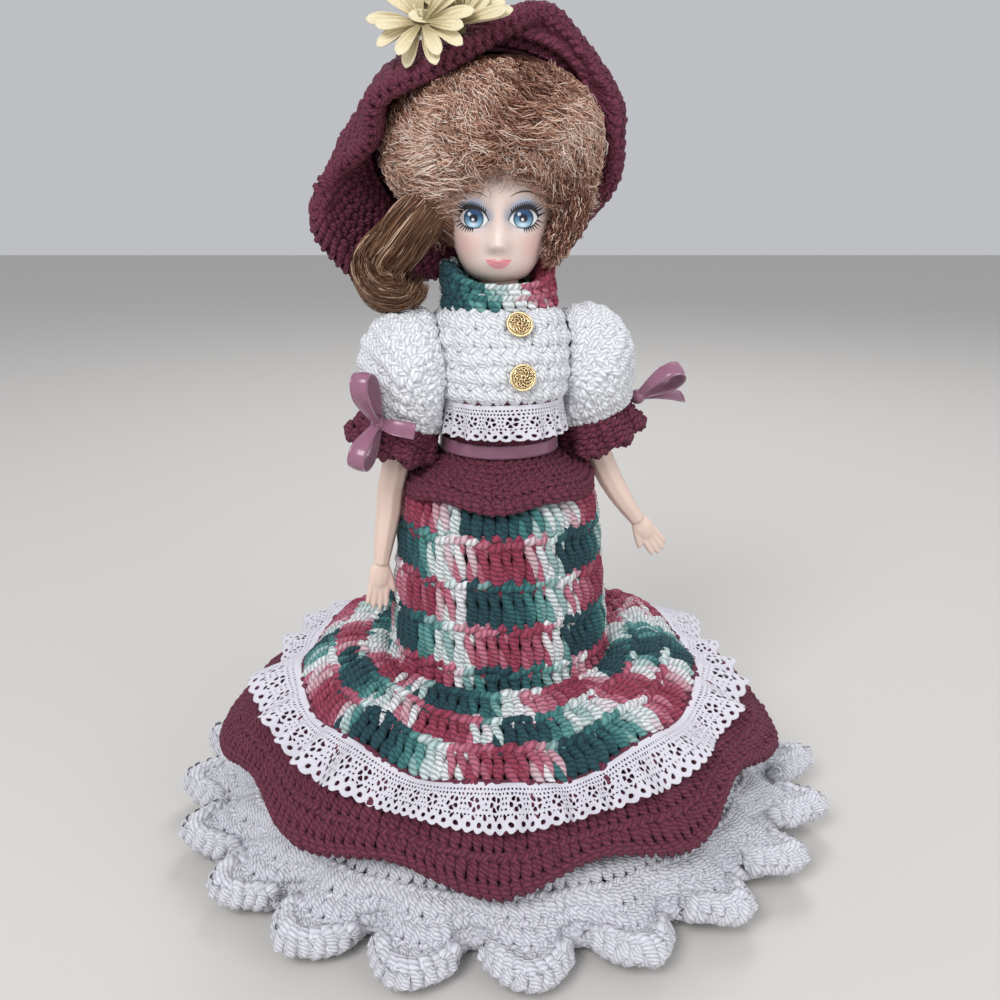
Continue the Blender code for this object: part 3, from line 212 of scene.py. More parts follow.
# Skirt tiers, each given by the middle of its wall
TUBE_TUCK = 0.0055
TUBE_TOP = PEPLUM_FOOT + TUBE_TUCK
TUBE_RADIUS = 0.0418
TUBE_FOOT = 0.0640
FLARE_INNER_HEIGHT = 0.0665
FLARE_RADIUS = 0.0775
FLARE_FRONT_HEIGHT = 0.0530
FLARE_BACK_HEIGHT = 0.0670
FLARE_BULGE = 0.0085
FLOUNCE_RADIUS = 0.0960
FLOUNCE_FRONT_HEIGHT = 0.0310
FLOUNCE_BACK_HEIGHT = 0.0470
FLOUNCE_WAVE = 0.0048
SKIRT_WAVES = 9
WAVE_START = math.radians(184)
PETTICOAT_TOP = 0.1240
PETTICOAT_RADIUS = 0.0900
PETTICOAT_HEM = 0.0215
RUFFLE_RADIUS = 0.1055
RUFFLE_WAVE = 0.0062
RUFFLE_WALL = 0.0024
FLAT_DEPTH = 0.0005
SKIRT_LACE_WIDTH = 0.0120
OVAL_SHARE = 0.13

# Counts of facets and folds
SKIRT_STEPS = 54
LACE_FOLDS = 18
RUFFLE_FOLDS = 20
RUFFLE_STEPS_A_FOLD = 6
SLEEVE_STEPS = 20
HEAD_STEPS = 24
HEAD_RINGS = 19

# Tables of shares: place along the piece, then shares of the sizes above
ARM_SHARES = {  # drop from the shoulder, outward and forward run, of the arm's drop; radius share
    "left": [(0.00, 0.000, 0.00, 1.25), (0.10, 0.060, 0.00, 1.12), (0.25, 0.100, 0.00, 1.02), (0.42, 0.140, 0.01, 0.98),
             (0.58, 0.190, 0.02, 0.97), (0.76, 0.215, 0.03, 0.90), (0.90, 0.246, 0.05, 0.72), (1.00, 0.262, 0.06, 0.56)],
    "right": [(0.00, 0.000, 0.00, 1.25), (0.10, 0.060, 0.00, 1.12), (0.25, 0.098, 0.00, 1.02), (0.42, 0.135, 0.01, 0.98),
              (0.58, 0.200, 0.02, 0.96), (0.70, 0.265, 0.02, 0.86), (0.80, 0.330, 0.03, 0.72), (0.88, 0.390, 0.03, 0.57)],
}
CURL_SHARES = [  # outward, forward, drop, of the hair's half width, from the hair's foremost point
    (-0.66, -0.56, 0.30), (-0.90, -0.52, 0.52), (-1.16, -0.54, 0.80), (-1.40, -0.58, 1.06), (-1.34, -0.56, 1.26),
    (-1.12, -0.50, 1.30), (-1.00, -0.46, 1.16),
]
LOCK_SHARES = [(0.74, -0.48, 0.20), (0.80, -0.52, 0.50), (0.80, -0.60, 0.80), (0.78, -0.66, 1.00)]
FRINGE_SHARES = [(-0.66, -0.20, 0.46), (-0.52, -0.02, 0.14), (-0.28, 0.08, -0.02), (0.00, 0.12, -0.06), (0.28, 0.08, -0.02),
                 (0.50, -0.02, 0.14), (0.64, -0.20, 0.46)]
DOME_SHARES = [(0.00, 0.00, 1.00), (0.25, 0.40, 0.915), (0.50, 0.72, 0.70), (0.75, 0.92, 0.39), (1.00, 0.985, 0.17)]
BRIM_EDGE_SHARES = [  # turn round the hat axis in quarters from +X, then where the edge lies, in brim reaches
    (-0.95, 0.14, 0.18, -0.62), (-0.70, -0.14, 0.30, -0.72), (-0.45, -0.40, 0.24, -0.74), (-0.20, -0.74, 0.02, -0.76),
    (0.00, -0.99, -0.14, -0.50), (0.15, -1.01, -0.18, -0.30), (0.30, -0.90, -0.13, -0.13), (0.42, -0.66, -0.30, 0.06),
    (0.52, -0.60, -0.48, 0.26), (0.72, -0.22, -0.50, 0.44), (1.00, 0.32, -0.25, 0.75), (1.18, 0.52, -0.14, 0.66),
    (1.50, 0.80, -0.03, 0.29), (1.72, 0.82, 0.01, 0.08), (1.95, 0.79, 0.05, -0.17), (2.20, 0.62, 0.08, -0.38),
    (2.60, 0.42, 0.14, -0.62),
]
DAISY_SHARES = [  # out from the hat, sideways, calyx length, in petal lengths; roll
    (0.92, -0.06, 0.13, 0.2), (0.46, -0.75, 0.06, 0.0),
]
BODICE_SHARES = [  # height share from foot to top, half width, front, back shares
    (0.00, 0.95, 1.00, 0.97), (0.26, 0.99, 1.03, 1.00), (0.54, 1.00, 0.98, 1.00), (0.78, 0.97, 0.88, 0.97),
    (0.92, 0.90, 0.78, 0.95), (1.00, 0.82, 0.71, 0.92),
]
SLEEVE_SHARES = [  # place, outward run to the mouth, height from mouth to middle, half height, half depth shares
    (0.00, 0.00, 1.00, 0.84, 0.62), (0.16, 0.30, 1.00, 1.02, 0.88), (0.36, 0.66, 0.94, 1.09, 1.00),
    (0.58, 0.92, 0.72, 1.04, 1.00), (0.80, 0.99, 0.36, 0.92, 0.84), (1.00, 1.00, 0.00, 0.76, 0.605),
]
BOW_SHARES = [  # side, turn round the cuff of the knot, then loops and tails: their way, and length shares
    ("left", -1, math.radians(236), [("loop", (-0.30, -0.50, 0.82), 1.0), ("loop", (-0.50, -0.50, -0.70), 0.8),
                                     ("tail", (0.80, -0.58, -0.12), 1.0)]),
    ("right", 1, math.radians(-10), [("loop", (0.76, -0.34, 0.55), 0.85), ("tail", (0.97, 0.20, -0.06), 1.5)]),
]
TUBE_SHARES = [  # place, radius share from waist to foot, height share from foot to top
    (0.00, 0.00, 1.00), (0.12, 0.36, 0.955), (0.22, 0.60, 0.890), (0.32, 0.71, 0.79), (0.55, 0.80, 0.52),
    (0.78, 0.90, 0.25), (1.00, 1.00, 0.00),
]
PEPLUM_SHARES = [  # place, radius share from waist to rim, height share from foot to top
    (0.00, 0.00, 1.00), (0.35, 0.45, 0.62), (0.70, 0.88, 0.32), (0.88, 1.00, 0.12), (1.00, 0.97, 0.00),
]
PETTICOAT_SHARES = [  # place, radius share from the tube's inside to the hem, height share from hem to top
    (0.00, 0.00, 1.00), (0.25, 0.02, 0.72), (0.50, 0.04, 0.41), (0.75, 0.50, 0.20), (1.00, 1.00, 0.00),
]


# Walls of the solids, as in the part's source


def between(start, end, share):
    return start + (end - start) * share


def eased(rows, place):
    """Smooth values between the rows of a table whose first column is the place."""
    if place <= rows[0][0]:
        return list(rows[0][1:])
    if place >= rows[-1][0]:
        return list(rows[-1][1:])
    index = max(k for k in range(len(rows) - 1) if rows[k][0] <= place)
    before, start, end, after = (rows[max(index - 1, 0)], rows[index], rows[index + 1],
                                 rows[min(index + 2, len(rows) - 1)])
    span = end[0] - start[0]
    u = (place - start[0]) / span
    values = []
    for column in range(1, len(start)):
        slope_in = (end[column] - before[column]) / (end[0] - before[0]) * span
        slope_out = (after[column] - start[column]) / (after[0] - start[0]) * span
        rise = end[column] - start[column]
        values.append(start[column] + u * slope_in + u * u * (3 * rise - 2 * slope_in - slope_out)
                      + u * u * u * (slope_in + slope_out - 2 * rise))
    return values


def bump(offset, width):
    return math.exp(-(offset / width) ** 2)


def oval(turn, half_width, front, back, power=2.0):
    """A point of an oval section, fuller at the sides as the power goes over 2."""
    c, s = math.cos(turn), math.sin(turn)
    depth = front if s < 0 else back
    return (half_width * math.copysign(abs(c) ** (2 / power), c), depth * math.copysign(abs(s) ** (2 / power), s))


JAW_TAPER = 0.26


def head_point(unit):
    """Where a point of the unit ball goes on the head: a flat face, a tapered jaw, then the features."""
    x, y, z = unit
    girth = math.sqrt(max(0.0, 1 - z * z))
    jaw = min(1.0, max(0.0, (-z - 0.05) / 0.95))
    side = x / girth if girth > 1e-6 else 0.0
    deep = y / girth if girth > 1e-6 else 0.0
    half_width = HEAD_HALF_WIDTH * girth ** 0.45 * (1 - JAW_TAPER * jaw * (1 - 0.3 * jaw))
    if deep < 0:
        half_depth = HEAD_HALF_DEPTH * girth ** (0.42 + 0.5 * max(0.0, z)) * (1 - 0.10 * jaw)
    else:
        half_depth = HEAD_HALF_DEPTH * girth ** 0.8 * (1 - 0.62 * jaw)
    place = Vector((half_width * side, half_depth * deep, CHIN_HEIGHT + HEAD_TALL * (z + 1) / 2))
    if deep < 0:
        front = min(1.0, -deep * 1.6)
        down = place.z - NOSE_HEIGHT
        bridge = bump(place.x, HEAD_HALF_WIDTH * 0.15) * bump(down, HEAD_TALL * (0.045 if down < 0 else 0.13)) * 0.62
        tip = bump(place.x, HEAD_HALF_WIDTH * 0.16) * bump(down + 0.0002, HEAD_TALL * 0.040) * 0.55
        wings = bump(abs(place.x) - 0.0027, 0.0013) * bump(down + 0.0008, 0.0017) * 0.16
        nose = bridge + tip + wings
        eye = bump(abs(place.x) - EYE_SPACING, HEAD_HALF_WIDTH * 0.22) * bump(place.z - EYE_HEIGHT, HEAD_TALL * 0.06)
        lips = bump(place.x, HEAD_HALF_WIDTH * 0.2) * bump(place.z - MOUTH_HEIGHT, HEAD_TALL * 0.03)
        place.y -= front * (NOSE_RISE * 0.84 * nose + LIP_RISE * lips - EYE_SINK * eye)
    return place


def arm_place(side, drop):
    """The middle of the arm, by its share of the drop from the shoulder, and its radius there."""
    out, forward, radius = eased(ARM_SHARES["left" if side < 0 else "right"], drop)
    place = Vector((side * (SHOULDER_OUT + out * ARM_DROP), -forward * ARM_DROP, SHOULDER_HEIGHT - drop * ARM_DROP))
    return place, radius * ARM_RADIUS


def hair_path(rows, radius, taper):
    middle = Vector((HAIR_MIDDLE[0], HAIR_MIDDLE[1] - HAIR_HALF_DEPTH, HAIR_MIDDLE[2]))
    stations = []
    for k, (out, forward, drop) in enumerate(rows):
        along = k / (len(rows) - 1)
        place = middle + Vector((out, -forward, -drop)) * HAIR_HALF_WIDTH
        stations.append((place, radius * (1 - taper * abs(2 * along - 1) ** 3)))
    return stations


def hat_frame():
    axis = Vector(HAT_AXIS_SHARES).normalized()
    right = Vector((1, 0, 0))
    right = (right - axis * right.dot(axis)).normalized()
    return right, right.cross(axis), axis


def crown_point(place, turn, out=0.0):
    """A point of the crown: place 0 is the middle of the dome and 1 is its rim."""
    right, up, axis = hat_frame()
    around, along = eased(DOME_SHARES, place)
    ray = right * math.cos(turn) * around + up * math.sin(turn) * around + axis * along
    sizes = (CROWN_HALF_WIDTH + out, CROWN_HALF_DEPTH + out, CROWN_HALF_TALL + out)
    return Vector(CROWN_MIDDLE) + Vector(c * s for c, s in zip(ray, sizes))


def brim_edge(turn):
    """Where the brim's edge lies at a turn round the hat axis."""
    quarters = (math.pi - turn) / (math.pi / 2)
    while quarters >= 3.05:
        quarters -= 4
    while quarters < -0.95:
        quarters += 4
    first = BRIM_EDGE_SHARES[0]
    x, y, z = eased(BRIM_EDGE_SHARES + [(first[0] + 4, *first[1:])], quarters)
    return Vector(CROWN_MIDDLE) + Vector((x, y, z)) * BRIM_LENGTH


def brim_point(place, turn):
    _, _, axis = hat_frame()
    start = crown_point(1, turn, YARN_WALL + SEAT)
    end = brim_edge(turn)
    sag = math.sin(math.pi * place) * BRIM_LENGTH * 0.05
    return start.lerp(end, place) + axis * sag


def collar_point(place, turn):
    side = (1 + math.sin(turn)) / 2
    top = between(COLLAR_FRONT_HEIGHT, COLLAR_BACK_HEIGHT, min(1.0, side * 1.9) ** 1.5)
    radius = COLLAR_RADIUS * between(0.97, 1.0, place)
    return Vector((radius * math.cos(turn), radius * math.sin(turn), between(top, COLLAR_FOOT, place)))


def bodice_point(place, turn):
    """place 0 is the top of the bodice and 1 its foot."""
    width, front, back = eased(BODICE_SHARES, 1 - place)
    x, y = oval(turn, BODICE_HALF_WIDTH * width, BODICE_FRONT * front, BODICE_BACK * back, 2.4)
    return Vector((x, y, between(BODICE_TOP, BODICE_FOOT, place)))


def waist_point(place, turn):
    """The waistband: place 0 lies under the bodice and 1 at the waist."""
    top = bodice_point(1, turn) * 0.96
    slim = between(1.0, WAIST_RADIUS / BODICE_HALF_WIDTH, min(1.0, place * 1.5) ** 0.8)
    height = between(BODICE_FOOT - GAP * 2, WAISTBAND_FOOT, place)
    round_share = place
    x = between(top.x * slim, WAIST_RADIUS * math.cos(turn), round_share)
    y = between(top.y * slim, WAIST_RADIUS * math.sin(turn), round_share)
    return Vector((x, y, height))


def outward(point, place, turn, out):
    """A point of a wall, moved out along the wall's own normal."""
    step = 1e-3
    here = point(place, turn)
    along = point(min(1.0, place + step), turn) - point(max(0.0, place - step), turn)
    around = point(place, turn + step) - point(place, turn - step)
    normal = around.cross(along)
    if normal.dot(Vector((here.x, here.y, 0))) < 0 and abs(normal.normalized().z) < 0.9:
        normal = -normal
    if abs(normal.normalized().z) >= 0.9 and normal.z < 0:
        normal = -normal
    return here + normal.normalized() * out


def peplum_point(place, turn):
    radius, height = eased(PEPLUM_SHARES, place)
    ripple = 1 + 0.035 * place * math.sin(7 * turn + 0.6)
    half_width = between(WAIST_RADIUS + SEAT / 2, PEPLUM_HALF_WIDTH, radius) * (1 + (ripple - 1) * abs(math.sin(turn)))
    half_depth = between(WAIST_RADIUS + SEAT / 2, PEPLUM_HALF_DEPTH, radius) * ripple
    lift = YARN_WALL * 0.5 * place * math.sin(5 * turn)
    return Vector((half_width * math.cos(turn), half_depth * math.sin(turn),
                   between(PEPLUM_FOOT, PEPLUM_TOP, height) + lift))


def sleeve_point(side, place, turn):
    """A puffed tube that bends from the armhole, which faces out, to the mouth, which faces down."""
    out, lift, half_tall, half_deep = eased(SLEEVE_SHARES, place)
    lean = between(math.pi / 2, CUFF_TILT, min(1.0, place * 1.05))
    gather = 1 + 0.03 * math.sin(9 * turn) * math.sin(math.pi * place)
    tall = half_tall * SLEEVE_HALF_WIDTH * gather * math.sin(turn)
    x = between(SLEEVE_PLANE, SLEEVE_OUT, out) + tall * math.cos(lean)
    z = between(SLEEVE_FOOT, SLEEVE_MIDDLE, lift) + tall * math.sin(lean)
    x = max(x, SLEEVE_PLANE + YARN_WALL / 2 * min(1.0, place * 4))
    return Vector((side * x, half_deep * SLEEVE_HALF_DEPTH * gather * math.cos(turn), z))


def cuff_frame(side):
    """The cuff stands square to its own axis, which leans out as the arm does."""
    return Matrix.Translation((side * SLEEVE_OUT, 0, SLEEVE_FOOT)) @ Matrix.Rotation(-side * CUFF_TILT, 4, "Y")


def backness(turn):
    """0 at the front, 1 at the back, rising soon round the sides."""
    return ((1 + math.sin(turn)) / 2) ** 0.45


def spread(radius, turn, height):
    """A point at a radius, widened sideways as the skirt spreads."""
    wide = 1 + OVAL_SHARE * max(0.0, min(1.0, (radius - FLARE_RADIUS) / (FLOUNCE_RADIUS - FLARE_RADIUS)))
    return Vector((radius * wide * math.cos(turn), radius * math.sin(turn), height))


def tube_point(place, turn):
    radius, height = eased(TUBE_SHARES, place)
    return spread(between(WAIST_RADIUS + SEAT / 2, TUBE_RADIUS, radius), turn, between(TUBE_FOOT, TUBE_TOP, height))


def flare_point(place, turn):
    inner = TUBE_RADIUS + YARN_WALL / 2 + SEAT
    edge_height = between(FLARE_FRONT_HEIGHT, FLARE_BACK_HEIGHT, backness(turn))
    inner_height = FLARE_INNER_HEIGHT + YARN_WALL
    puff = FLARE_BULGE * math.sin(math.pi * place) * backness(turn)
    fold = YARN_WALL * 0.8 * place * math.sin(SKIRT_WAVES * turn + WAVE_START)
    return spread(between(inner, FLARE_RADIUS, place), turn, between(inner_height, edge_height, place) + puff + fold)


def flounce_point(place, turn):
    start = flare_point(1, turn)
    reach = Vector((start.x, start.y, 0)).length
    edge_height = between(FLOUNCE_FRONT_HEIGHT, FLOUNCE_BACK_HEIGHT, backness(turn))
    wave = FLOUNCE_WAVE * math.sin(SKIRT_WAVES * turn + WAVE_START)
    share = (GAP * 2 / (FLOUNCE_RADIUS - FLARE_RADIUS)) * (1 - place) + place
    widest = FLOUNCE_RADIUS * (1 + OVAL_SHARE * math.cos(turn) ** 2)
    radius = reach + (widest - FLARE_RADIUS) * share + wave * place ** 1.5
    height = between(start.z, edge_height, share ** 1.15) - wave * 0.9 * place ** 2
    return Vector((radius / reach * start.x, radius / reach * start.y, height))


def petticoat_point(place, turn):
    radius, height = eased(PETTICOAT_SHARES, place)
    inside = between(WAIST_RADIUS, TUBE_RADIUS, 0.75) - YARN_WALL - GAP * 3
    return spread(between(inside, PETTICOAT_RADIUS, radius), turn, between(PETTICOAT_HEM, PETTICOAT_TOP, height))


def ruffle_point(place, turn):
    below = FLAT_DEPTH + RUFFLE_WALL
    fold = RUFFLE_WAVE * math.sin(RUFFLE_FOLDS * turn) * (0.12 + 0.88 * place)
    start = (GAP * 2 / (RUFFLE_RADIUS - PETTICOAT_RADIUS)) * (1 - place) + place
    radius = between(PETTICOAT_RADIUS, RUFFLE_RADIUS, start) + fold
    return spread(radius, turn, between(PETTICOAT_HEM - GAP * 2, -below, start ** 1.1))


# Walls as grids, so that many points can be placed on them at once


class Wall:
    """A grid of points over place and turn, with the normals that point out of the wall."""

    def __init__(self, point, rows=40, steps=240, spin=0.0, outward_from=None):
        grid = np.array([[point(r / rows, FULL_TURN * k / steps - math.pi) for k in range(steps)] for r in range(rows + 1)])
        if spin:
            c, s = math.cos(spin), math.sin(spin)
            grid = grid @ np.array([[c, -s, 0], [s, c, 0], [0, 0, 1]]).T
        down = np.gradient(grid, axis=0)
        around = np.roll(grid, -1, 1) - np.roll(grid, 1, 1)
        normal = np.cross(down, around)
        normal /= np.maximum(np.linalg.norm(normal, axis=2, keepdims=True), 1e-12)
        middle = np.array(outward_from if outward_from is not None else grid.reshape(-1, 3).mean(0))
        if ((grid - middle) * normal).sum(2).mean() < 0:
            normal = -normal
        self.grid, self.normal, self.rows, self.steps = grid, normal, rows, steps

    def at(self, place, turn, out=0.0):
        """Points at places and turns, moved out along the normal. Also returns the normals."""
        v = np.clip(place, 0, 1) * self.rows
        u = (np.asarray(turn) + math.pi) / FULL_TURN * self.steps
        r0 = np.minimum(v.astype(int), self.rows - 1)
        fv = (v - r0)[..., None]
        k0 = np.floor(u).astype(int)
        fu = (u - k0)[..., None]
        k1 = (k0 + 1) % self.steps
        k0 = k0 % self.steps

        def mixed(field):
            return ((field[r0, k0] * (1 - fu) + field[r0, k1] * fu) * (1 - fv)
                    + (field[r0 + 1, k0] * (1 - fu) + field[r0 + 1, k1] * fu) * fv)

        normals = mixed(self.normal)
        normals /= np.maximum(np.linalg.norm(normals, axis=-1, keepdims=True), 1e-12)
        over = (place - np.clip(place, 0, 1))[..., None]
        step = self.grid[-1] - self.grid[-2] if np.mean(place) > 0.5 else self.grid[1] - self.grid[0]
        along = (step[k0] * (1 - fu) + step[k1] * fu) * self.rows
        return mixed(self.grid) + over * along + normals * np.asarray(out)[..., None], normals

    def turn_at(self, place, share):
        """The turns at shares of the way round, measured along the wall, so that stitches come out even."""
        row = self.grid[min(self.rows, int(round(place * self.rows)))]
        steps = np.linalg.norm(np.roll(row, -1, 0) - row, axis=1)
        along = np.concatenate([[0], np.cumsum(steps)]) / steps.sum()
        whole = np.floor(share)
        return np.interp(share - whole, along, np.linspace(-math.pi, math.pi, self.steps + 1)) + whole * FULL_TURN

    def length(self, place):
        """The wall's length round, at a place."""
        row = self.grid[min(self.rows, int(round(place * self.rows)))]
        return float(np.linalg.norm(np.roll(row, -1, 0) - row, axis=1).sum())

    def flat(self, first, last):
        """The sheet's size before it was drawn in: its longest row, its depth, and its area."""
        low, high = int(first * self.rows), int(math.ceil(last * self.rows))
        lengths = [self.length(row / self.rows) for row in range(low, high + 1)]
        depth = float(np.linalg.norm(np.diff(self.grid[low:high + 1], axis=0), axis=2).sum(0).mean())
        return (max(lengths), depth), min(1.0, sum(lengths) / len(lengths) / max(lengths)) * max(lengths) * depth


def mesh_object(name, verts, faces, material, smooth=True, attributes=None):
    """A mesh object from arrays. faces is one array of quads or of triangles, or a list of them."""
    mesh = bpy.data.meshes.new(name)
    verts = np.asarray(verts, np.float64).reshape(-1, 3)
    groups = faces if isinstance(faces, list) else [faces]
    groups = [np.asarray(g) for g in groups if len(g)]
    loops = np.concatenate([g.reshape(-1) for g in groups])
    sizes = np.concatenate([np.full(len(g), g.shape[1]) for g in groups])
    starts = np.concatenate([[0], np.cumsum(sizes)[:-1]])
    mesh.vertices.add(len(verts))
    mesh.vertices.foreach_set("co", verts.reshape(-1))
    mesh.loops.add(len(loops))
    mesh.loops.foreach_set("vertex_index", loops.astype(np.int32))
    mesh.polygons.add(len(sizes))
    mesh.polygons.foreach_set("loop_start", starts.astype(np.int32))
    mesh.polygons.foreach_set("loop_total", sizes.astype(np.int32))
    if smooth:
        mesh.polygons.foreach_set("use_smooth", np.ones(len(sizes), bool))
    mesh.update(calc_edges=True)
    for key, (kind, values) in (attributes or {}).items():
        layer = mesh.attributes.new(key, kind, "POINT")
        field = "vector" if kind == "FLOAT_VECTOR" else "color" if kind == "FLOAT_COLOR" else "value"
        layer.data.foreach_set(field, np.asarray(values, np.float32).reshape(-1))
    obj = bpy.data.objects.new(name, mesh)
    bpy.context.scene.collection.objects.link(obj)
    obj.data.materials.append(material)
    return obj


class Strands:
    """Collects yarn strands, swept as tubes, and makes one mesh of them."""

    def __init__(self, sides=6):
        self.sides = sides
        self.verts, self.faces, self.yarn, self.hue = [], [], [], []
        self.count = 0

    def add(self, paths, normals, radii, hue=0.0, flat=1.0):
        """paths: (strands, points, 3). normals: one way out for each point. radii: for each point."""
        paths = np.asarray(paths)
        count, points = paths.shape[:2]
        along = np.gradient(paths, axis=1)
        along /= np.maximum(np.linalg.norm(along, axis=2, keepdims=True), 1e-12)
        across = np.cross(along, normals)
        across /= np.maximum(np.linalg.norm(across, axis=2, keepdims=True), 1e-12)
        up = np.cross(across, along)
        turns = np.arange(self.sides) * FULL_TURN / self.sides
        radii = np.broadcast_to(np.asarray(radii), (count, points))[..., None, None]
        ring = (across[:, :, None, :] * np.cos(turns)[None, None, :, None]
                + up[:, :, None, :] * np.sin(turns)[None, None, :, None] * flat)
        verts = paths[:, :, None, :] + ring * radii
        lengths = np.linalg.norm(np.diff(paths, axis=1), axis=2)
        travel = np.concatenate([np.zeros((count, 1)), np.cumsum(lengths, 1)], 1) * 1000
        start = (np.arange(count) * 1.618) % 6.0
        yarn = np.empty((count, points, self.sides, 3))
        yarn[..., 0] = np.cos(turns)
        yarn[..., 1] = np.sin(turns)
        yarn[..., 2] = (travel + start[:, None])[..., None]
        base = self.count + (np.arange(count) * points * self.sides)[:, None, None]
        ring0 = (np.arange(points - 1) * self.sides)[None, :, None]
        side = np.arange(self.sides)[None, None, :]
        after = (side + 1) % self.sides
        a, b = base + ring0 + side, base + ring0 + after
        quads = np.stack([a, b, b + self.sides, a + self.sides], -1).reshape(-1, 4)
        self.verts.append(verts.reshape(-1, 3))
        self.faces.append(quads)
        self.yarn.append(yarn.reshape(-1, 3))
        tone = np.broadcast_to(np.asarray(hue, float).reshape(-1, 1) if np.ndim(hue) == 1 else np.asarray(hue, float),
                               (count, points))
        self.hue.append(np.repeat(tone.reshape(-1), self.sides))
        self.count += count * points * self.sides

    def make(self, name, material):
        return mesh_object(name, np.concatenate(self.verts), np.concatenate(self.faces), material, attributes={
            "yarn": ("FLOAT_VECTOR", np.concatenate(self.yarn)), "hue": ("FLOAT", np.concatenate(self.hue))})


def smooth_path(points, samples):
    """Points along a smooth curve through a few control points, given as rows of numbers."""
    rows = [(k / (len(points) - 1), *p) for k, p in enumerate(points)]
    return np.array([eased(rows, k / (samples - 1)) for k in range(samples)])


# Stitches: each stroke is a list of points: across the stitch, down the row, out of the wall in
# yarn radii, and the yarn's thickness there as a share


def twisted_post(twist, wide, deep, lean, top=-0.06, foot=1.14, points=9):
    """The tall part of a stitch: two strands of yarn turned about each other."""
    strokes = []
    for ply in (0.0, math.pi):
        stroke = []
        for k in range(points):
            t = k / (points - 1)
            angle = ply + FULL_TURN * twist * t
            full = math.sin(math.pi * min(0.97, max(0.03, t)))
            stroke.append((lean * (t - 0.5) + wide * math.cos(angle) * (0.75 + 0.25 * full), between(foot, top, t),
                           0.1 + 1.0 * full + deep * math.sin(angle) * full, 0.88 + 0.12 * full))
        strokes.append(stroke)
    return strokes


def top_loops(rise=1.5, tall=0.10):
    """The chain that closes a row: two strands that lie along it."""
    return [
        [(-0.68, -tall * 0.2, 0.0, 0.7), (-0.34, tall, rise * 0.9, 1.0), (0.04, tall * 0.7, rise, 1.0),
         (0.36, -tall * 0.5, rise * 0.8, 1.0), (0.62, -tall, 0.1, 0.7)],
        [(-0.60, -tall * 1.6, 0.0, 0.7), (-0.26, -tall * 1.2, rise * 0.6, 0.9), (0.10, -tall * 1.4, rise * 0.8, 0.9),
         (0.40, -tall * 2.2, rise * 0.5, 0.9), (0.64, -tall * 2.4, 0.0, 0.7)],
    ]


DOUBLE_STITCH = twisted_post(0.85, 0.24, 0.50, -0.14, -0.10, 1.24) + top_loops(1.4, 0.05)
TREBLE_STITCH = twisted_post(1.20, 0.25, 0.42, -0.26, -0.10, 1.26) + top_loops(1.4, 0.04)
SINGLE_STITCH = twisted_post(0.45, 0.26, 0.40, 0.10) + top_loops(1.6, 0.14)
PUFFY_STITCH = [
    [(-0.36, -0.10, 0.0, 0.8), (-0.40, 0.22, 1.1, 1.0), (-0.30, 0.62, 1.4, 1.1), (-0.06, 1.12, 0.2, 0.8)],
    [(0.36, -0.08, 0.0, 0.8), (0.34, 0.26, 1.2, 1.0), (0.26, 0.66, 1.45, 1.1), (0.06, 1.12, 0.2, 0.8)],
    [(-0.62, 0.06, -0.2, 0.7), (-0.28, 0.10, 0.7, 0.9), (0.06, 0.02, 1.2, 1.0), (0.38, 0.04, 0.9, 0.9), (0.62, -0.04, -0.2, 0.7)],
    [(0.00, 0.22, 0.3, 0.9), (-0.02, 0.55, 1.0, 1.05), (-0.02, 0.90, 0.5, 0.9)],
]
BUMP_STITCH = [
    [(-0.54, 0.36, 0.0, 0.8), (-0.36, 0.10, 1.2, 1.0), (0.02, 0.04, 1.8, 1.1), (0.36, 0.22, 1.3, 1.0), (0.46, 0.62, 0.0, 0.8)],
    [(-0.46, 1.02, 0.0, 0.8), (-0.34, 0.66, 1.2, 1.0), (0.00, 0.52, 1.6, 1.1), (0.34, 0.74, 1.1, 1.0), (0.52, 1.08, 0.0, 0.8)],
    [(-0.30, 0.20, 0.2, 0.9), (-0.10, 0.50, 0.8, 1.0), (0.16, 0.86, 0.4, 0.9)],
]
EDGE_STITCH = [
    [(-0.80, 0.02, -0.6, 0.7), (-0.46, -0.16, 0.9, 1.0), (0.00, 0.24, 1.6, 1.1), (0.42, 0.84, 1.0, 1.0), (0.70, 1.16, -0.8, 0.7)],
    [(-0.62, 0.96, -0.8, 0.7), (-0.34, 0.62, 0.8, 1.0), (0.02, 0.42, 1.2, 1.0), (0.44, 0.20, 0.8, 1.0), (0.72, 0.06, -0.6, 0.7)],
]


def crochet(strands, wall, first, last, rows, pitch, radius, stitch, rng, hue_of=None, samples=9, lift=0.2, side=1,
            stagger=0.5, skip=None):
    """Lays rows of stitches on a wall, between two places. pitch is a stitch's width in metres."""
    for row in range(rows):
        top, foot = between(first, last, row / rows), between(first, last, (row + 1) / rows)
        count = max(6, int(round(wall.length((top + foot) / 2) / pitch)))
        starts = np.arange(count) + stagger * (row % 2)
        sway = rng.normal(0, 0.045, (count, 2))
        size = 1 + rng.normal(0, 0.06, count)
        for number, stroke in enumerate(stitch):
            path = smooth_path(stroke, samples)
            own = rng.normal(0, 0.03, (count, 2))
            shares = (starts[:, None] + path[None, :, 0] + sway[:, :1] + own[:, :1]) / count
            u = wall.turn_at(min(1.0, (top + foot) / 2), shares)
            v = top + (path[None, :, 1] + sway[:, 1:] * 0.6 + own[:, 1:]) * (foot - top)
            out = (path[None, :, 2] + lift) * radius * size[:, None] * side
            spots, normals = wall.at(v, u, out)
            thick = radius * size[:, None] * path[None, :, 3]
            tone = np.zeros((count, samples))
            if hue_of:
                tone += hue_of(row, np.arange(count) + 0.25 * number)[:, None] + path[None, :, 1] * 0.3
                tone += rng.normal(0, 0.75, count)[:, None]
            kept = np.ones(count, bool) if skip is None else ~skip(spots)
            strands.add(spots[kept], normals[kept] * side, thick[kept], tone[kept])


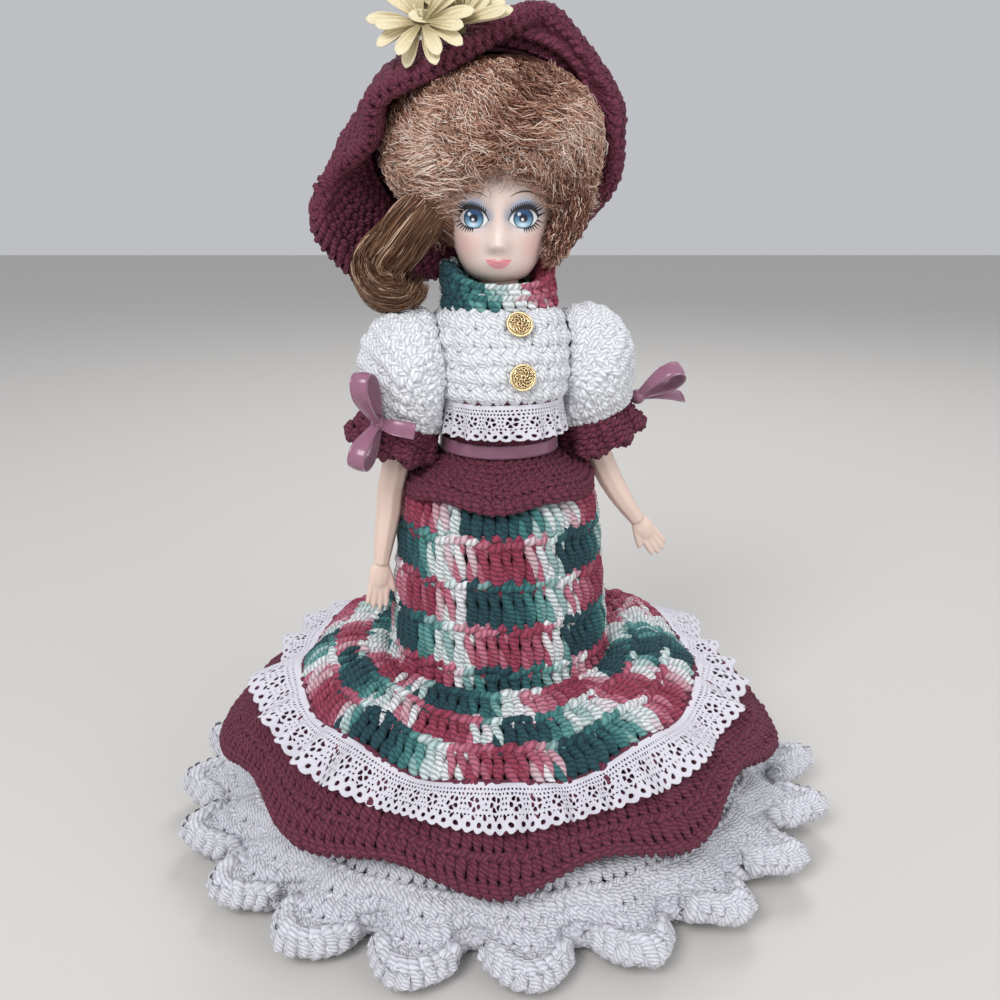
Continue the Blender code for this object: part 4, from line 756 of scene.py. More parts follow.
def backing(name, wall, first, last, thickness, material, rows=24, steps=180, out=0.0, low=-math.pi, high=math.pi):
    """The sheet behind the stitches: a closed wall of its own thickness."""
    whole = high - low > FULL_TURN - 0.01
    places = np.linspace(first, last, rows + 1)
    turns = np.linspace(low, high, steps + 1)[:-1] if whole else np.linspace(low, high, steps)
    v, u = np.meshgrid(places, turns, indexing="ij")
    outer, _ = wall.at(v, u, out + thickness / 2)
    inner, _ = wall.at(v, u, out - thickness / 2)
    n = len(turns)
    index = np.arange((rows + 1) * n).reshape(rows + 1, n)
    after = np.roll(index, -1, 1) if whole else index[:, 1:]
    here = index if whole else index[:, :-1]
    quads = np.stack([here[:-1], after[:-1], after[1:], here[1:]], -1).reshape(-1, 4)
    shift = (rows + 1) * n
    faces = [quads[:, ::-1], quads + shift]
    top = np.stack([here[0], after[0], after[0] + shift, here[0] + shift], -1)
    foot = np.stack([after[-1], here[-1], here[-1] + shift, after[-1] + shift], -1)
    faces += [top, foot]
    if not whole:
        left = np.stack([index[1:, 0], index[:-1, 0], index[:-1, 0] + shift, index[1:, 0] + shift], -1)
        right = np.stack([index[:-1, -1], index[1:, -1], index[1:, -1] + shift, index[:-1, -1] + shift], -1)
        faces += [left, right]
    return mesh_object(name, np.concatenate([outer.reshape(-1, 3), inner.reshape(-1, 3)]), np.concatenate(faces), material)


# Materials


def new_shader(name, roughness):
    made = bpy.data.materials.new(name)
    made.use_nodes = True
    shader = made.node_tree.nodes["Principled BSDF"]
    shader.inputs["Roughness"].default_value = roughness
    return made, made.node_tree, shader


def calc(tree, operation, *values):
    """A Math node on values or sockets. Returns its output."""
    node = tree.nodes.new("ShaderNodeMath")
    node.operation = operation
    for socket, value in zip(node.inputs, values):
        if isinstance(value, (int, float)):
            socket.default_value = value
        else:
            tree.links.new(value, socket)
    return node.outputs[0]


def combined(tree, *values):
    node = tree.nodes.new("ShaderNodeCombineXYZ")
    for socket, value in zip(node.inputs, values):
        if isinstance(value, (int, float)):
            socket.default_value = value
        else:
            tree.links.new(value, socket)
    return node.outputs[0]


def noise(tree, vector, scale, detail=2.0, roughness=0.5):
    node = tree.nodes.new("ShaderNodeTexNoise")
    node.inputs["Scale"].default_value = scale
    node.inputs["Detail"].default_value = detail
    node.inputs["Roughness"].default_value = roughness
    if vector is not None:
        tree.links.new(vector, node.inputs["Vector"])
    return node.outputs["Fac"]


def attribute(tree, name, output="Vector"):
    node = tree.nodes.new("ShaderNodeAttribute")
    node.attribute_name = name
    return node.outputs[output]


def ramp(tree, factor, stops, interpolation="LINEAR"):
    node = tree.nodes.new("ShaderNodeValToRGB")
    node.color_ramp.interpolation = interpolation
    elements = node.color_ramp.elements
    while len(elements) < len(stops):
        elements.new(0.5)
    for element, (place, colour) in zip(elements, stops):
        element.position = place
        element.color = (*colour, 1)
    tree.links.new(factor, node.inputs["Fac"])
    return node.outputs["Color"]


def scaled(tree, colour, factor):
    """A colour, given or a socket, times a factor."""
    node = tree.nodes.new("ShaderNodeVectorMath")
    node.operation = "SCALE"
    if isinstance(colour, tuple):
        node.inputs[0].default_value = colour
    else:
        tree.links.new(colour, node.inputs[0])
    tree.links.new(factor, node.inputs["Scale"])
    return node.outputs[0]


def bumped(tree, shader, height, distance, strength=1.0):
    node = tree.nodes.new("ShaderNodeBump")
    node.inputs["Distance"].default_value = distance
    node.inputs["Strength"].default_value = strength
    tree.links.new(height, node.inputs["Height"])
    tree.links.new(node.outputs["Normal"], shader.inputs["Normal"])


def object_place(tree):
    return tree.nodes.new("ShaderNodeTexCoord").outputs["Object"]


def yarn_material(name, colour, plies=4, twist=6.0, depth=0.55, colours=None, period=1.0, sheen=0.02):
    """Plied yarn: the strands' own attribute gives the way round the yarn and along it, in mm."""
    made, tree, shader = new_shader(name, 0.85)
    split = tree.nodes.new("ShaderNodeSeparateXYZ")
    tree.links.new(attribute(tree, "yarn"), split.inputs[0])
    angle = calc(tree, "ARCTAN2", split.outputs[1], split.outputs[0])
    turned = calc(tree, "SUBTRACT", angle, calc(tree, "MULTIPLY", split.outputs[2], FULL_TURN / twist))
    ply = calc(tree, "ABSOLUTE", calc(tree, "COSINE", calc(tree, "MULTIPLY", turned, plies / 2)))
    fibres = noise(tree, combined(tree, calc(tree, "COSINE", turned), calc(tree, "SINE", turned),
                                  calc(tree, "MULTIPLY", split.outputs[2], 0.22)), 5.0, 4.0, 0.7)
    if colours:
        hue = calc(tree, "FRACT", calc(tree, "DIVIDE", attribute(tree, "hue", "Fac"), period))
        base = ramp(tree, hue, colours)
    else:
        base = colour
    # painted shade: the base colour darkens in the grooves between the plies, by depth
    shade = calc(tree, "MULTIPLY_ADD", ply, depth, 1 - depth)
    shade = calc(tree, "MULTIPLY", shade, calc(tree, "MULTIPLY_ADD", fibres, 0.9, 0.55))
    tree.links.new(scaled(tree, base, shade), shader.inputs["Base Color"])
    shader.inputs["Sheen Weight"].default_value = sheen
    shader.inputs["Sheen Roughness"].default_value = 0.5
    height = calc(tree, "MULTIPLY_ADD", fibres, 0.6, ply)
    bumped(tree, shader, height, 0.00030, 1.0)
    return made


def cloth_material(name, colour, roughness=0.95, grain=900.0, depth=0.25, colours=None, period=1.0):
    made, tree, shader = new_shader(name, roughness)
    specks = noise(tree, object_place(tree), grain, 3.0)
    shade = calc(tree, "MULTIPLY_ADD", specks, depth * 2, 1 - depth)
    tree.links.new(scaled(tree, colour, shade), shader.inputs["Base Color"])
    bumped(tree, shader, specks, 0.0002, 0.6)
    return made


def satin_material(name, colour, roughness=0.20):
    made, tree, shader = new_shader(name, roughness)
    place = object_place(tree)
    streaks = noise(tree, place, 400.0, 3.0)
    shade = calc(tree, "MULTIPLY_ADD", streaks, 0.3, 0.85)
    tree.links.new(scaled(tree, colour, shade), shader.inputs["Base Color"])
    shader.inputs["Sheen Weight"].default_value = 0.6
    shader.inputs["Sheen Roughness"].default_value = 0.3
    shader.inputs["Anisotropic"].default_value = 0.5
    bumped(tree, shader, noise(tree, place, 2200.0, 1.0), 0.00006, 0.5)
    return made


def vinyl_material(name, colour, roughness=0.42, painted=None):
    made, tree, shader = new_shader(name, roughness)
    if painted:
        tree.links.new(attribute(tree, painted, "Color"), shader.inputs["Base Color"])
    else:
        shader.inputs["Base Color"].default_value = (*colour, 1)
    shader.inputs["Subsurface Weight"].default_value = 0.18
    shader.inputs["Subsurface Radius"].default_value = (0.004, 0.002, 0.0015)
    shader.inputs["Subsurface Scale"].default_value = 1.0
    bumped(tree, shader, noise(tree, object_place(tree), 1500.0, 2.0), 0.00002, 0.4)
    return made


def hair_material(name, colours, period=1.0):
    """Shiny fibres, a little different from strand to strand."""
    made, tree, shader = new_shader(name, 0.33)
    tree.links.new(ramp(tree, attribute(tree, "hue", "Fac"), colours), shader.inputs["Base Color"])
    shader.inputs["Specular IOR Level"].default_value = 0.5
    shader.inputs["Specular Tint"].default_value = (1.0, 0.80, 0.66, 1)
    shader.inputs["Anisotropic"].default_value = 0.6
    return made


def petal_material(name, colours):
    """Silk petals, darker to the heart as painted shade, with fine threads."""
    made, tree, shader = new_shader(name, 0.6)
    threads = noise(tree, object_place(tree), 1500.0, 3.0)
    shade = calc(tree, "MULTIPLY_ADD", threads, 0.34, 0.83)
    base = ramp(tree, attribute(tree, "hue", "Fac"), colours)
    tree.links.new(scaled(tree, base, shade), shader.inputs["Base Color"])
    shader.inputs["Sheen Weight"].default_value = 0.3
    bumped(tree, shader, threads, 0.00012, 0.5)
    return made


def metal_material(name, colour, roughness=0.28):
    made, tree, shader = new_shader(name, roughness)
    shader.inputs["Base Color"].default_value = (*colour, 1)
    shader.inputs["Metallic"].default_value = 1.0
    return made


MAROON = (0.165, 0.027, 0.060)
WHITE = (0.84, 0.86, 0.90)
PETTICOAT_WHITE = (0.74, 0.74, 0.80)
MIXED_COLOURS = [  # share of the yarn's repeat, colour
    (0.00, (0.010, 0.055, 0.072)), (0.18, (0.013, 0.070, 0.088)), (0.27, (0.038, 0.175, 0.180)), (0.34, (0.13, 0.36, 0.34)),
    (0.40, (0.72, 0.80, 0.80)), (0.50, (0.84, 0.84, 0.86)), (0.55, (0.60, 0.20, 0.28)), (0.63, (0.36, 0.052, 0.105)),
    (0.78, (0.30, 0.036, 0.080)), (0.86, (0.56, 0.15, 0.23)), (0.90, (0.84, 0.82, 0.84)), (0.95, (0.60, 0.74, 0.73)),
    (0.98, (0.060, 0.24, 0.235)), (1.00, (0.010, 0.055, 0.072)),
]
MIXED_PERIOD = 19.0

# The ground sheets are coloured darker than their yarns: painted shade in the gaps between and under the stitches
maroon_yarn = yarn_material("maroon_yarn_visual", MAROON)
maroon_shade_cloth = cloth_material("maroon_shade_ground", (0.050, 0.010, 0.020))
white_yarn = yarn_material("white_yarn_visual", WHITE, depth=0.22, plies=5)
white_shade_cloth = cloth_material("white_shade_ground", (0.62, 0.63, 0.67))
petticoat_yarn = yarn_material("petticoat_yarn_visual", PETTICOAT_WHITE, depth=0.25, plies=5)
mixed_yarn = yarn_material("mixed_yarn_visual", MAROON, colours=MIXED_COLOURS, period=MIXED_PERIOD, plies=3, twist=5.0)
mixed_shade_cloth = cloth_material("mixed_shade_ground", (0.030, 0.028, 0.036))
lace_cloth = cloth_material("lace_visual", (0.66, 0.645, 0.71), 0.85, 2500.0, 0.15)
mauve_satin = satin_material("mauve_satin_visual", (0.30, 0.13, 0.20))
blue_satin = satin_material("blue_satin_visual", (0.28, 0.43, 0.52))
# the petals darken towards the heart: painted shade near the flower's middle
silk_cloth = petal_material("silk_visual", [(0.0, (0.20, 0.17, 0.07)), (0.22, (0.46, 0.38, 0.20)), (0.5, (0.70, 0.60, 0.38)),
                                            (1.0, (0.78, 0.70, 0.48))])
calyx_cloth = cloth_material("calyx_visual", (0.16, 0.15, 0.07), 0.7)
gold_metal = metal_material("gold_visual", (0.95, 0.76, 0.45), 0.2)
gold_ground = metal_material("gold_ground", (0.34, 0.21, 0.10), 0.5)
skin_vinyl = vinyl_material("vinyl_visual", (0.78, 0.60, 0.51))
face_vinyl = vinyl_material("face_visual", (0.8, 0.65, 0.6), 0.38, painted="paint")
HAIR_COLOURS = [(0.0, (0.045, 0.015, 0.010)), (0.35, (0.20, 0.080, 0.054)), (0.65, (0.56, 0.300, 0.215)),
                (0.85, (0.90, 0.620, 0.480)), (1.0, (1.0, 0.86, 0.76))]
CURL_COLOURS = [(0.0, (0.040, 0.014, 0.007)), (0.4, (0.130, 0.055, 0.028)), (0.75, (0.32, 0.175, 0.105)),
                (1.0, (0.75, 0.54, 0.40))]
hair_fibre = hair_material("hair_visual", HAIR_COLOURS)
# The hair cap is coloured dark: painted shade in the depth of the hair, under the fibres
hair_shade_ground = cloth_material("hair_shade_ground", (0.10, 0.050, 0.036), 0.7, 700.0, 0.4)
curl_fibre = hair_material("curl_visual", CURL_COLOURS)


def put(obj, body, *nodes, finish=None):
    """The piece rides on the body and stands for the nodes."""
    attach(obj, body)
    if nodes:
        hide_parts(*nodes)
    return obj


# Crochet pieces: the sheet of cloth behind, darker than its yarn as painted shade between the stitches, then its
# stitches


def yarn_hue(step, start):
    """Where along the mixed yarn's repeat each stitch of a row lies."""
    def hue_of(row, stitch):
        return start + row * step + stitch
    return hue_of


def crocheted(name, wall, rows, pitch, radius, stitch, yarn, ground, body, nodes, finish, rng, hue_of=None,
              first=0.0, last=1.0, thickness=0.0014, sink=0.0, lift=0.2, samples=9, sides=6, ground_rows=24,
              ground_steps=180, stagger=0.5, both=False, skip=None, stitched_from=None):
    """A crocheted piece: its ground sheet stands for the solids, and its stitches lie on the ground. The ground is
    darker than its yarn: painted shade between and under the stitches.
    """
    row_start = first if stitched_from is None else stitched_from
    base = backing(name + "_ground", wall, first, last, thickness, ground, ground_rows, ground_steps, -sink)
    put(base, body, *nodes, finish=finish)
    for side in (1, -1) if both else (1,):
        strands = Strands(sides)
        crochet(strands, wall, row_start, last, rows, pitch, radius, stitch, rng, hue_of, samples, lift, side, stagger,
                skip=skip)
        piece = strands.make(f"{name}_stitches" + ("_under" if side < 0 else ""), yarn)
        put(piece, body, finish=finish)
    flat, area = wall.flat(first, last)
    return base


def hem_cord(name, wall, place, radius, stitch, pitch, yarn, body, finish, rng, width=0.2, side=1):
    """A crocheted edge: one row of stitches about the wall's hem."""
    strands = Strands(6)
    crochet(strands, wall, place, place + width, 1, pitch, radius, stitch, rng, None, 8, -0.3, side)
    piece = strands.make(name, yarn)
    put(piece, body, finish=finish)
    return piece


RNG = np.random.default_rng(SEED)

# Skirt tiers and petticoat

tube_wall = Wall(tube_point)
flare_wall = Wall(flare_point)


def flounce_look(place, turn):
    """The flounce as it hangs: its notches are shallow at the viewer's left and deeper at the right."""
    spot = flounce_point(place, turn)
    notch = (1 - math.sin(SKIRT_WAVES * turn + WAVE_START)) * FLOUNCE_WAVE
    fill = notch * (0.42 - 0.26 * math.cos(turn - 0.5)) * (1 - backness(turn))
    ring = Vector((spot.x, spot.y, 0)).normalized()
    return spot + ring * fill * place ** 1.5 - Vector((0, 0, fill * 0.95 * place ** 2))


flounce_wall = Wall(flounce_look)
petticoat_wall = Wall(petticoat_point)
peplum_wall = Wall(peplum_point)


def looped_hem_point(place, turn):
    """The ruffle as it hangs: its folds swell into rounded loops towards the hem."""
    turn += 0.034 * math.sin(3 * turn + 1.3) + 0.020 * math.sin(7 * turn + 0.4)
    wave = RUFFLE_FOLDS * turn
    drift = RUFFLE_DRIFT * place ** 1.5 / RUFFLE_RADIUS
    spot = ruffle_point(place, turn - drift * math.sin(2 * wave))
    ring = Vector((spot.x, spot.y, 0)).normalized()
    spot += ring * RUFFLE_MORE * place ** 1.5 * math.sin(wave) * (1 + 0.35 * math.sin(3 * turn + 1))
    spot.z += RUFFLE_LIFT * place ** 1.6 * (1 + math.sin(wave + 0.8)) * (1 + 0.4 * math.sin(2 * turn + 2))
    spot.z += RUFFLE_FOOT * place ** 1.5
    spot.z += RUFFLE_RIM * (place ** 5 - 0.5 * math.sin(math.pi * place)) * (1 + math.sin(wave)) / 2
    return spot


RUFFLE_DRIFT = 0.0078
RUFFLE_MORE = 0.0068
RUFFLE_LIFT = 0.0036
RUFFLE_RIM = 0.0036
RUFFLE_FOOT = 0.0056  # so that the thick hem lies on the floor
ruffle_wall = Wall(looped_hem_point, 24, 720)


def skirt():
    crocheted("skirt_tube", tube_wall, 6, 0.0040, 0.00168, TREBLE_STITCH, mixed_yarn, mixed_shade_cloth, "dressed_torso",
              ["skirt_tube"], "mixed_yarn", RNG, yarn_hue(8.5, 0.4), sink=0.0010, samples=12)
    crocheted("skirt_flare", flare_wall, 3, 0.0041, 0.00168, TREBLE_STITCH, mixed_yarn, mixed_shade_cloth, "dressed_torso",
              ["skirt_flare"], "mixed_yarn", RNG, yarn_hue(8.5, 6.0), sink=0.0010, samples=12)
    crocheted("flounce", flounce_wall, 4, 0.0036, 0.00134, DOUBLE_STITCH, maroon_yarn, maroon_shade_cloth, "dressed_torso",
              ["flounce"], "maroon_yarn", RNG, sink=0.0008, last=0.93, stagger=0.0)
    hem_cord("flounce_hem_chain", flounce_wall, 0.92, 0.00135, EDGE_STITCH, 0.0036, maroon_yarn, "dressed_torso",
             "maroon_yarn", RNG, width=0.075)
    crocheted("petticoat", petticoat_wall, 8, 0.0042, 0.0015, PUFFY_STITCH, petticoat_yarn, white_shade_cloth, "dressed_torso",
              ["petticoat"], "white_yarn", RNG, sink=0.0008, samples=6, sides=5, stitched_from=0.62)
    crocheted("petticoat_ruffle", ruffle_wall, 3, 0.0042, 0.0015, PUFFY_STITCH, petticoat_yarn, white_shade_cloth, "dressed_torso",
              ["petticoat_ruffle"], "white_yarn", RNG, sink=0.0010, samples=7, last=0.86,
              ground_steps=720)
    for side in (1, -1):
        hem_cord("ruffle_hem_cord" + ("_under" if side < 0 else ""), ruffle_wall, 0.84, 0.0025, EDGE_STITCH, 0.0040,
                 petticoat_yarn, "dressed_torso", "white_yarn", RNG, width=0.15, side=side)
    crocheted("peplum", peplum_wall, 4, 0.0034, 0.00118, BUMP_STITCH, maroon_yarn, maroon_shade_cloth, "dressed_torso",
              ["peplum"], "maroon_yarn", RNG, sink=0.0008, last=0.90)
    hem_cord("peplum_edge", peplum_wall, 0.86, 0.0014, EDGE_STITCH, 0.0036, maroon_yarn, "dressed_torso",
             "maroon_yarn", RNG, width=0.14)


skirt()

# Lace


def dots(x, y, pitch, size, shift=0.5):
    """True inside a field of round dots, each second row shifted."""
    row = np.floor(y / pitch)
    dx = (x / pitch + shift * (row % 2)) % 1 - 0.5
    dy = (y / pitch) % 1 - 0.5
    return dx * dx + dy * dy < (size / pitch) ** 2


def scalloped_net(x, y, width):
    """Where the lace has thread. x runs along it and y across, in mm, from its gathered edge to its scallops."""
    scallop = 3.4
    x = x + 0.25 * np.sin(y * 1.7 + x * 0.4)
    edge = width - 0.9 + 0.9 * np.abs(np.sin(math.pi * x / scallop))
    off = ((x / scallop) % 1 - 0.5) * scallop
    loops = (off / 1.15) ** 2 + (y - width + 1.75) ** 2 < 0.66 ** 2
    across = ((x / scallop + 0.5) % 1 - 0.5) * scallop
    second = across ** 2 + (y - width + 3.2) ** 2 < 0.52 ** 2
    flower = ((x / (scallop * 2)) % 1 - 0.5) * scallop * 2
    down = y - width * 0.5 + 0.4
    petals = np.hypot(flower, down)
    spokes = np.abs(np.sin(np.arctan2(down, flower) * 2.5 + 0.4)) > 0.45
    eyes = (petals < 1.9) & (petals > 0.7) & spokes
    net = dots(x, y, 1.25, 0.40) & (petals > 2.4) & (y > 1.0) & (y < width - 3.7)
    return ~(loops | second | eyes | net) & (y < edge)


def pierced(name, wall, first, last, width, material, cell=0.30, thickness=0.0005, out=0.0, fold=None, pattern=scalloped_net):
    """A strip of lace on a wall, gathered at its first place. fold(share, turn) lifts it off the wall."""
    length = wall.length((first + last) / 2) * 1000
    columns, rows = int(length / cell), int(width / cell)
    shares = np.linspace(0, 1, rows + 1)
    turns = -math.pi + np.arange(columns) * FULL_TURN / columns
    v, u = np.meshgrid(shares, turns, indexing="ij")
    lift = out + (fold(v, u) if fold else 0.0) + np.zeros_like(v)
    spots, normals = wall.at(between(first, last, v), u, lift)
    x, y = np.meshgrid((np.arange(columns) + 0.5) * cell, (np.arange(rows) + 0.5) * cell)
    kept = pattern(x, y, width)
    index = np.arange((rows + 1) * columns).reshape(rows + 1, columns)
    after = np.roll(index, -1, 1)
    a, b, c, d = index[:-1], after[:-1], after[1:], index[1:]
    empty = np.zeros((1, columns), bool)
    edges = []
    for here, there, start, end in ((kept, np.roll(kept, -1, 1), b, c), (kept, np.roll(kept, 1, 1), d, a),
                                    (kept, np.vstack([kept[1:], empty]), c, d), (kept, np.vstack([empty, kept[:-1]]), a, b)):
        rim = here & ~there
        edges.append(np.stack([start[rim], end[rim]], 1))
    edges = np.concatenate(edges)
    flat = spots.reshape(-1, 3)
    for _ in range(3):
        total, count = np.zeros_like(flat), np.zeros(len(flat))
        for i, j in ((0, 1), (1, 0)):
            np.add.at(total, edges[:, i], flat[edges[:, j]])
            np.add.at(count, edges[:, i], 1)
        moved = count > 0
        flat[moved] = 0.5 * flat[moved] + 0.5 * total[moved] / count[moved, None]
    ways = normals.reshape(-1, 3) * thickness / 2
    shift = len(flat)
    front = np.stack([a, b, c, d], -1)[kept]
    faces = np.concatenate([front[:, ::-1], front + shift,
                            np.stack([edges[:, 0], edges[:, 1], edges[:, 1] + shift, edges[:, 0] + shift], 1)])
    verts = np.concatenate([flat + ways, flat - ways])
    used, faces = np.unique(faces, return_inverse=True)
    return mesh_object(name, verts[used], faces.reshape(-1, 4), material)


# Ribbons


def ribbon_strip(name, path, across, width, material, thickness=0.0005, cup=0.0):
    """A flat ribbon along a path, with one way across it for each point."""
    path, across = np.asarray(path, float), np.asarray(across, float)
    across /= np.linalg.norm(across, axis=1, keepdims=True)
    along = np.gradient(path, axis=0)
    along /= np.maximum(np.linalg.norm(along, axis=1, keepdims=True), 1e-12)
    normal = np.cross(along, across)
    normal /= np.maximum(np.linalg.norm(normal, axis=1, keepdims=True), 1e-12)
    shares = np.linspace(-1, 1, 9)
    widths = np.broadcast_to(np.asarray(width, float), (len(path),))
    rows = (path[:, None] + across[:, None] * (shares[None, :, None] * widths[:, None, None] / 2)
            + normal[:, None] * (cup * (1 - shares ** 2))[None, :, None])
    front, back = rows + normal[:, None] * thickness / 2, rows - normal[:, None] * thickness / 2
    n, m = len(path), len(shares)
    index = np.arange(n * m).reshape(n, m)
    quads = np.stack([index[:-1, :-1], index[:-1, 1:], index[1:, 1:], index[1:, :-1]], -1).reshape(-1, 4)
    shift = n * m
    ring = np.concatenate([index[:, 0], index[-1, 1:], index[-2::-1, -1], index[0, -2:0:-1]])
    after = np.roll(ring, -1)
    rim = np.stack([ring, after, after + shift, ring + shift], 1)
    return mesh_object(name, np.concatenate([front.reshape(-1, 3), back.reshape(-1, 3)]),
                       np.concatenate([quads, quads[:, ::-1] + shift, rim[:, ::-1]]), material)


def joined_pieces(name, pieces):
    """One mesh object of several, each keeping its materials."""
    for obj in bpy.context.selected_objects:
        obj.select_set(False)
    for obj in pieces:
        obj.select_set(True)
    bpy.context.view_layer.objects.active = pieces[0]
    bpy.ops.object.join()
    pieces[0].name = name
    return pieces[0]


# Bust: collar, bodice, buttons, waist

def collar_look(place, turn):
    """The collar as worn: drawn in at its front, so that it hugs the neck under the chin."""
    spot = collar_point(place, turn)
    front = max(0.0, -math.sin(turn)) ** 0.7
    drawn = 1 - 0.15 * front * (1 - place) ** 1.3
    return Vector((spot.x * drawn, spot.y * drawn, spot.z + 0.0012 * front * (1 - place)))


collar_wall = Wall(collar_look, spin=BUST_TURN)
bodice_wall = Wall(bodice_point, spin=BUST_TURN)
waist_wall = Wall(waist_point, spin=BUST_TURN)
TURNED = Matrix.Rotation(BUST_TURN, 4, "Z")


def armhole_cut(obj):
    """Opens the bodice where the arms pass, as the solid is opened."""
    bpy.ops.mesh.primitive_cylinder_add(vertices=48, radius=ARMHOLE_RADIUS, depth=BODICE_HALF_WIDTH * 4)
    hole = bpy.context.active_object
    hole.data.transform(TURNED @ Matrix.Translation((0, 0, SHOULDER_HEIGHT)) @ Matrix.Rotation(math.pi / 2, 4, "Y"))
    modifier = obj.modifiers.new("armholes", "BOOLEAN")
    modifier.object, modifier.operation, modifier.solver = hole, "DIFFERENCE", "EXACT"
    bpy.context.view_layer.update()
    mesh = bpy.data.meshes.new_from_object(obj.evaluated_get(bpy.context.evaluated_depsgraph_get()))
    obj.modifiers.clear()
    obj.data = mesh
    bpy.data.objects.remove(hole, do_unlink=True)


def in_armhole(spots):
    """True for stitches whose middle lies in an armhole. spots: (stitches, points, 3)."""
    middle = spots[:, spots.shape[1] // 2]
    forward = middle[:, 1] * math.cos(BUST_TURN) - middle[:, 0] * math.sin(BUST_TURN)
    sideways = middle[:, 0] * math.cos(BUST_TURN) + middle[:, 1] * math.sin(BUST_TURN)
    reach = np.hypot(forward, middle[:, 2] - SHOULDER_HEIGHT)
    return (reach < ARMHOLE_RADIUS + SEAT) & (np.abs(sideways) > BODICE_HALF_WIDTH / 2)


def waist_lace_point(place, turn):
    wall = waist_point(0, turn)
    wall += Vector((wall.x, wall.y, 0)).normalized() * ((YARN_WALL + LACE_WALL) / 2 + GAP * 3)
    wall += Vector((wall.x, wall.y, 0)).normalized() * (BUST_LACE_DROP * place * 0.22 * math.sin(turn) ** 6)
    wall.z = BODICE_FOOT - SEAT * 1.2 - BUST_LACE_DROP * place
    return wall


def bust():
    crocheted("collar", collar_wall, 2, 0.0043, 0.00142, DOUBLE_STITCH, mixed_yarn, mixed_shade_cloth, "dressed_torso",
              ["collar"], "mixed_yarn", RNG, yarn_hue(0.0, 1.4), both=True)
    base = crocheted("bodice", bodice_wall, 5, 0.0048, 0.00155, PUFFY_STITCH, white_yarn, white_shade_cloth, "dressed_torso",
                     ["bodice"], "white_yarn", RNG, sink=0.0009, skip=in_armhole)
    armhole_cut(base)
    crocheted("waistband", waist_wall, 4, 0.0038, 0.00115, SINGLE_STITCH, maroon_yarn, maroon_shade_cloth, "dressed_torso",
              ["waistband"], "maroon_yarn", RNG, sink=0.0004)
    lace_wall = Wall(waist_lace_point, spin=BUST_TURN)
    lace = pierced("bust_lace_visual", lace_wall, 0, 1, BUST_LACE_DROP * 1000, lace_cloth, cell=0.22,
                   fold=lambda share, turn: share * 0.0013 * (1 + np.sin(turn * 22 + np.sin(turn * 7))))
    put(lace, "dressed_torso", "bust_lace", finish="lace")
    share = RIBBON_WIDTH / (BODICE_FOOT - WAISTBAND_FOOT)
    band = backing("waist_ribbon_visual", waist_wall, 0.99 - share, 0.99, 0.0005, mauve_satin, 8, 220, 0.0036)
    put(band, "dressed_torso", "waist_ribbon", finish="mauve_satin")
    for name, drop in zip(("button_top", "button_bottom"), BUTTON_DROPS):
        button(name, drop)


def button(name, drop):
    """A gold button: a disc, a rope rim and pierced swirls."""
    share = drop / (BODICE_TOP - BODICE_FOOT)
    middle = outward(bodice_point, share, FRONT, YARN_WALL / 2 + BUTTON_WALL + SEAT + 0.0011)
    facing = (middle - bodice_point(share, FRONT)).normalized()
    frame = (TURNED @ Matrix.Translation(middle + Vector((BUTTON_OUT, 0, 0)))
             @ Vector((0, 0, 1)).rotation_difference(facing).to_matrix().to_4x4())
    bpy.ops.mesh.primitive_cylinder_add(vertices=48, radius=BUTTON_RADIUS * 0.90, depth=BUTTON_WALL * 0.6)
    disc = bpy.context.active_object
    disc.data.materials.append(gold_ground)
    strands = Strands(6)
    turns = np.linspace(0, FULL_TURN, 97)
    for ply in (0, math.pi):
        twist = turns * 26 + ply
        radius = BUTTON_RADIUS * 0.93 + 0.00022 * np.cos(twist)
        rope = np.stack([radius * np.cos(turns), radius * np.sin(turns), BUTTON_WALL * 0.36 + 0.00022 * np.sin(twist)], 1)
        strands.add(rope[None], np.array([0, 0, 1.0]), 0.00036)
    for arm in range(9):
        start = FULL_TURN * arm / 9
        curl = np.linspace(0, 1, 22)
        angle = start + curl * 2.6
        radius = BUTTON_RADIUS * (0.16 + 0.62 * np.sin(curl * 2.2) ** 0.8)
        swirl = np.stack([radius * np.cos(angle), radius * np.sin(angle), BUTTON_WALL * (0.42 + 0.3 * curl * (1 - curl))], 1)
        strands.add(swirl[None], np.array([0, 0, 1.0]), 0.00017)
        small = np.linspace(0, FULL_TURN, 13)
        centre = np.array([math.cos(start + 0.5), math.sin(start + 0.5)]) * BUTTON_RADIUS * 0.56
        ring = np.stack([centre[0] + 0.0006 * np.cos(small), centre[1] + 0.0006 * np.sin(small),
                         np.full(13, BUTTON_WALL * 0.46)], 1)
        strands.add(ring[None], np.array([0, 0, 1.0]), 0.00016)
    small = np.linspace(0, FULL_TURN, 13)
    ring = np.stack([0.0008 * np.cos(small), 0.0008 * np.sin(small), np.full(13, BUTTON_WALL * 0.6)], 1)
    strands.add(ring[None], np.array([0, 0, 1.0]), 0.0003)
    top = strands.make(name + "_work", gold_metal)
    made = joined_pieces(name + "_visual", [disc, top])
    made.data.transform(frame)
    for polygon in made.data.polygons:
        polygon.use_smooth = True
    put(made, "dressed_torso", name, finish="gold")


# Sleeves, cuffs and bows

CUFF_WAVES = 7
SIDES = (("left", -1), ("right", 1))


def cuff_point(side, place, turn):
    depth = CUFF_DROP * place * (1.10 + 0.10 * math.cos(CUFF_WAVES * turn + 1))
    radius = between(CUFF_TOP_RADIUS, CUFF_RIM_RADIUS * 1.06, place) * (1 - 0.20 * place * math.cos(CUFF_WAVES * turn))
    return cuff_frame(side) @ Vector((radius * math.cos(turn), radius * math.sin(turn), -SEAT * 1.3 - depth))


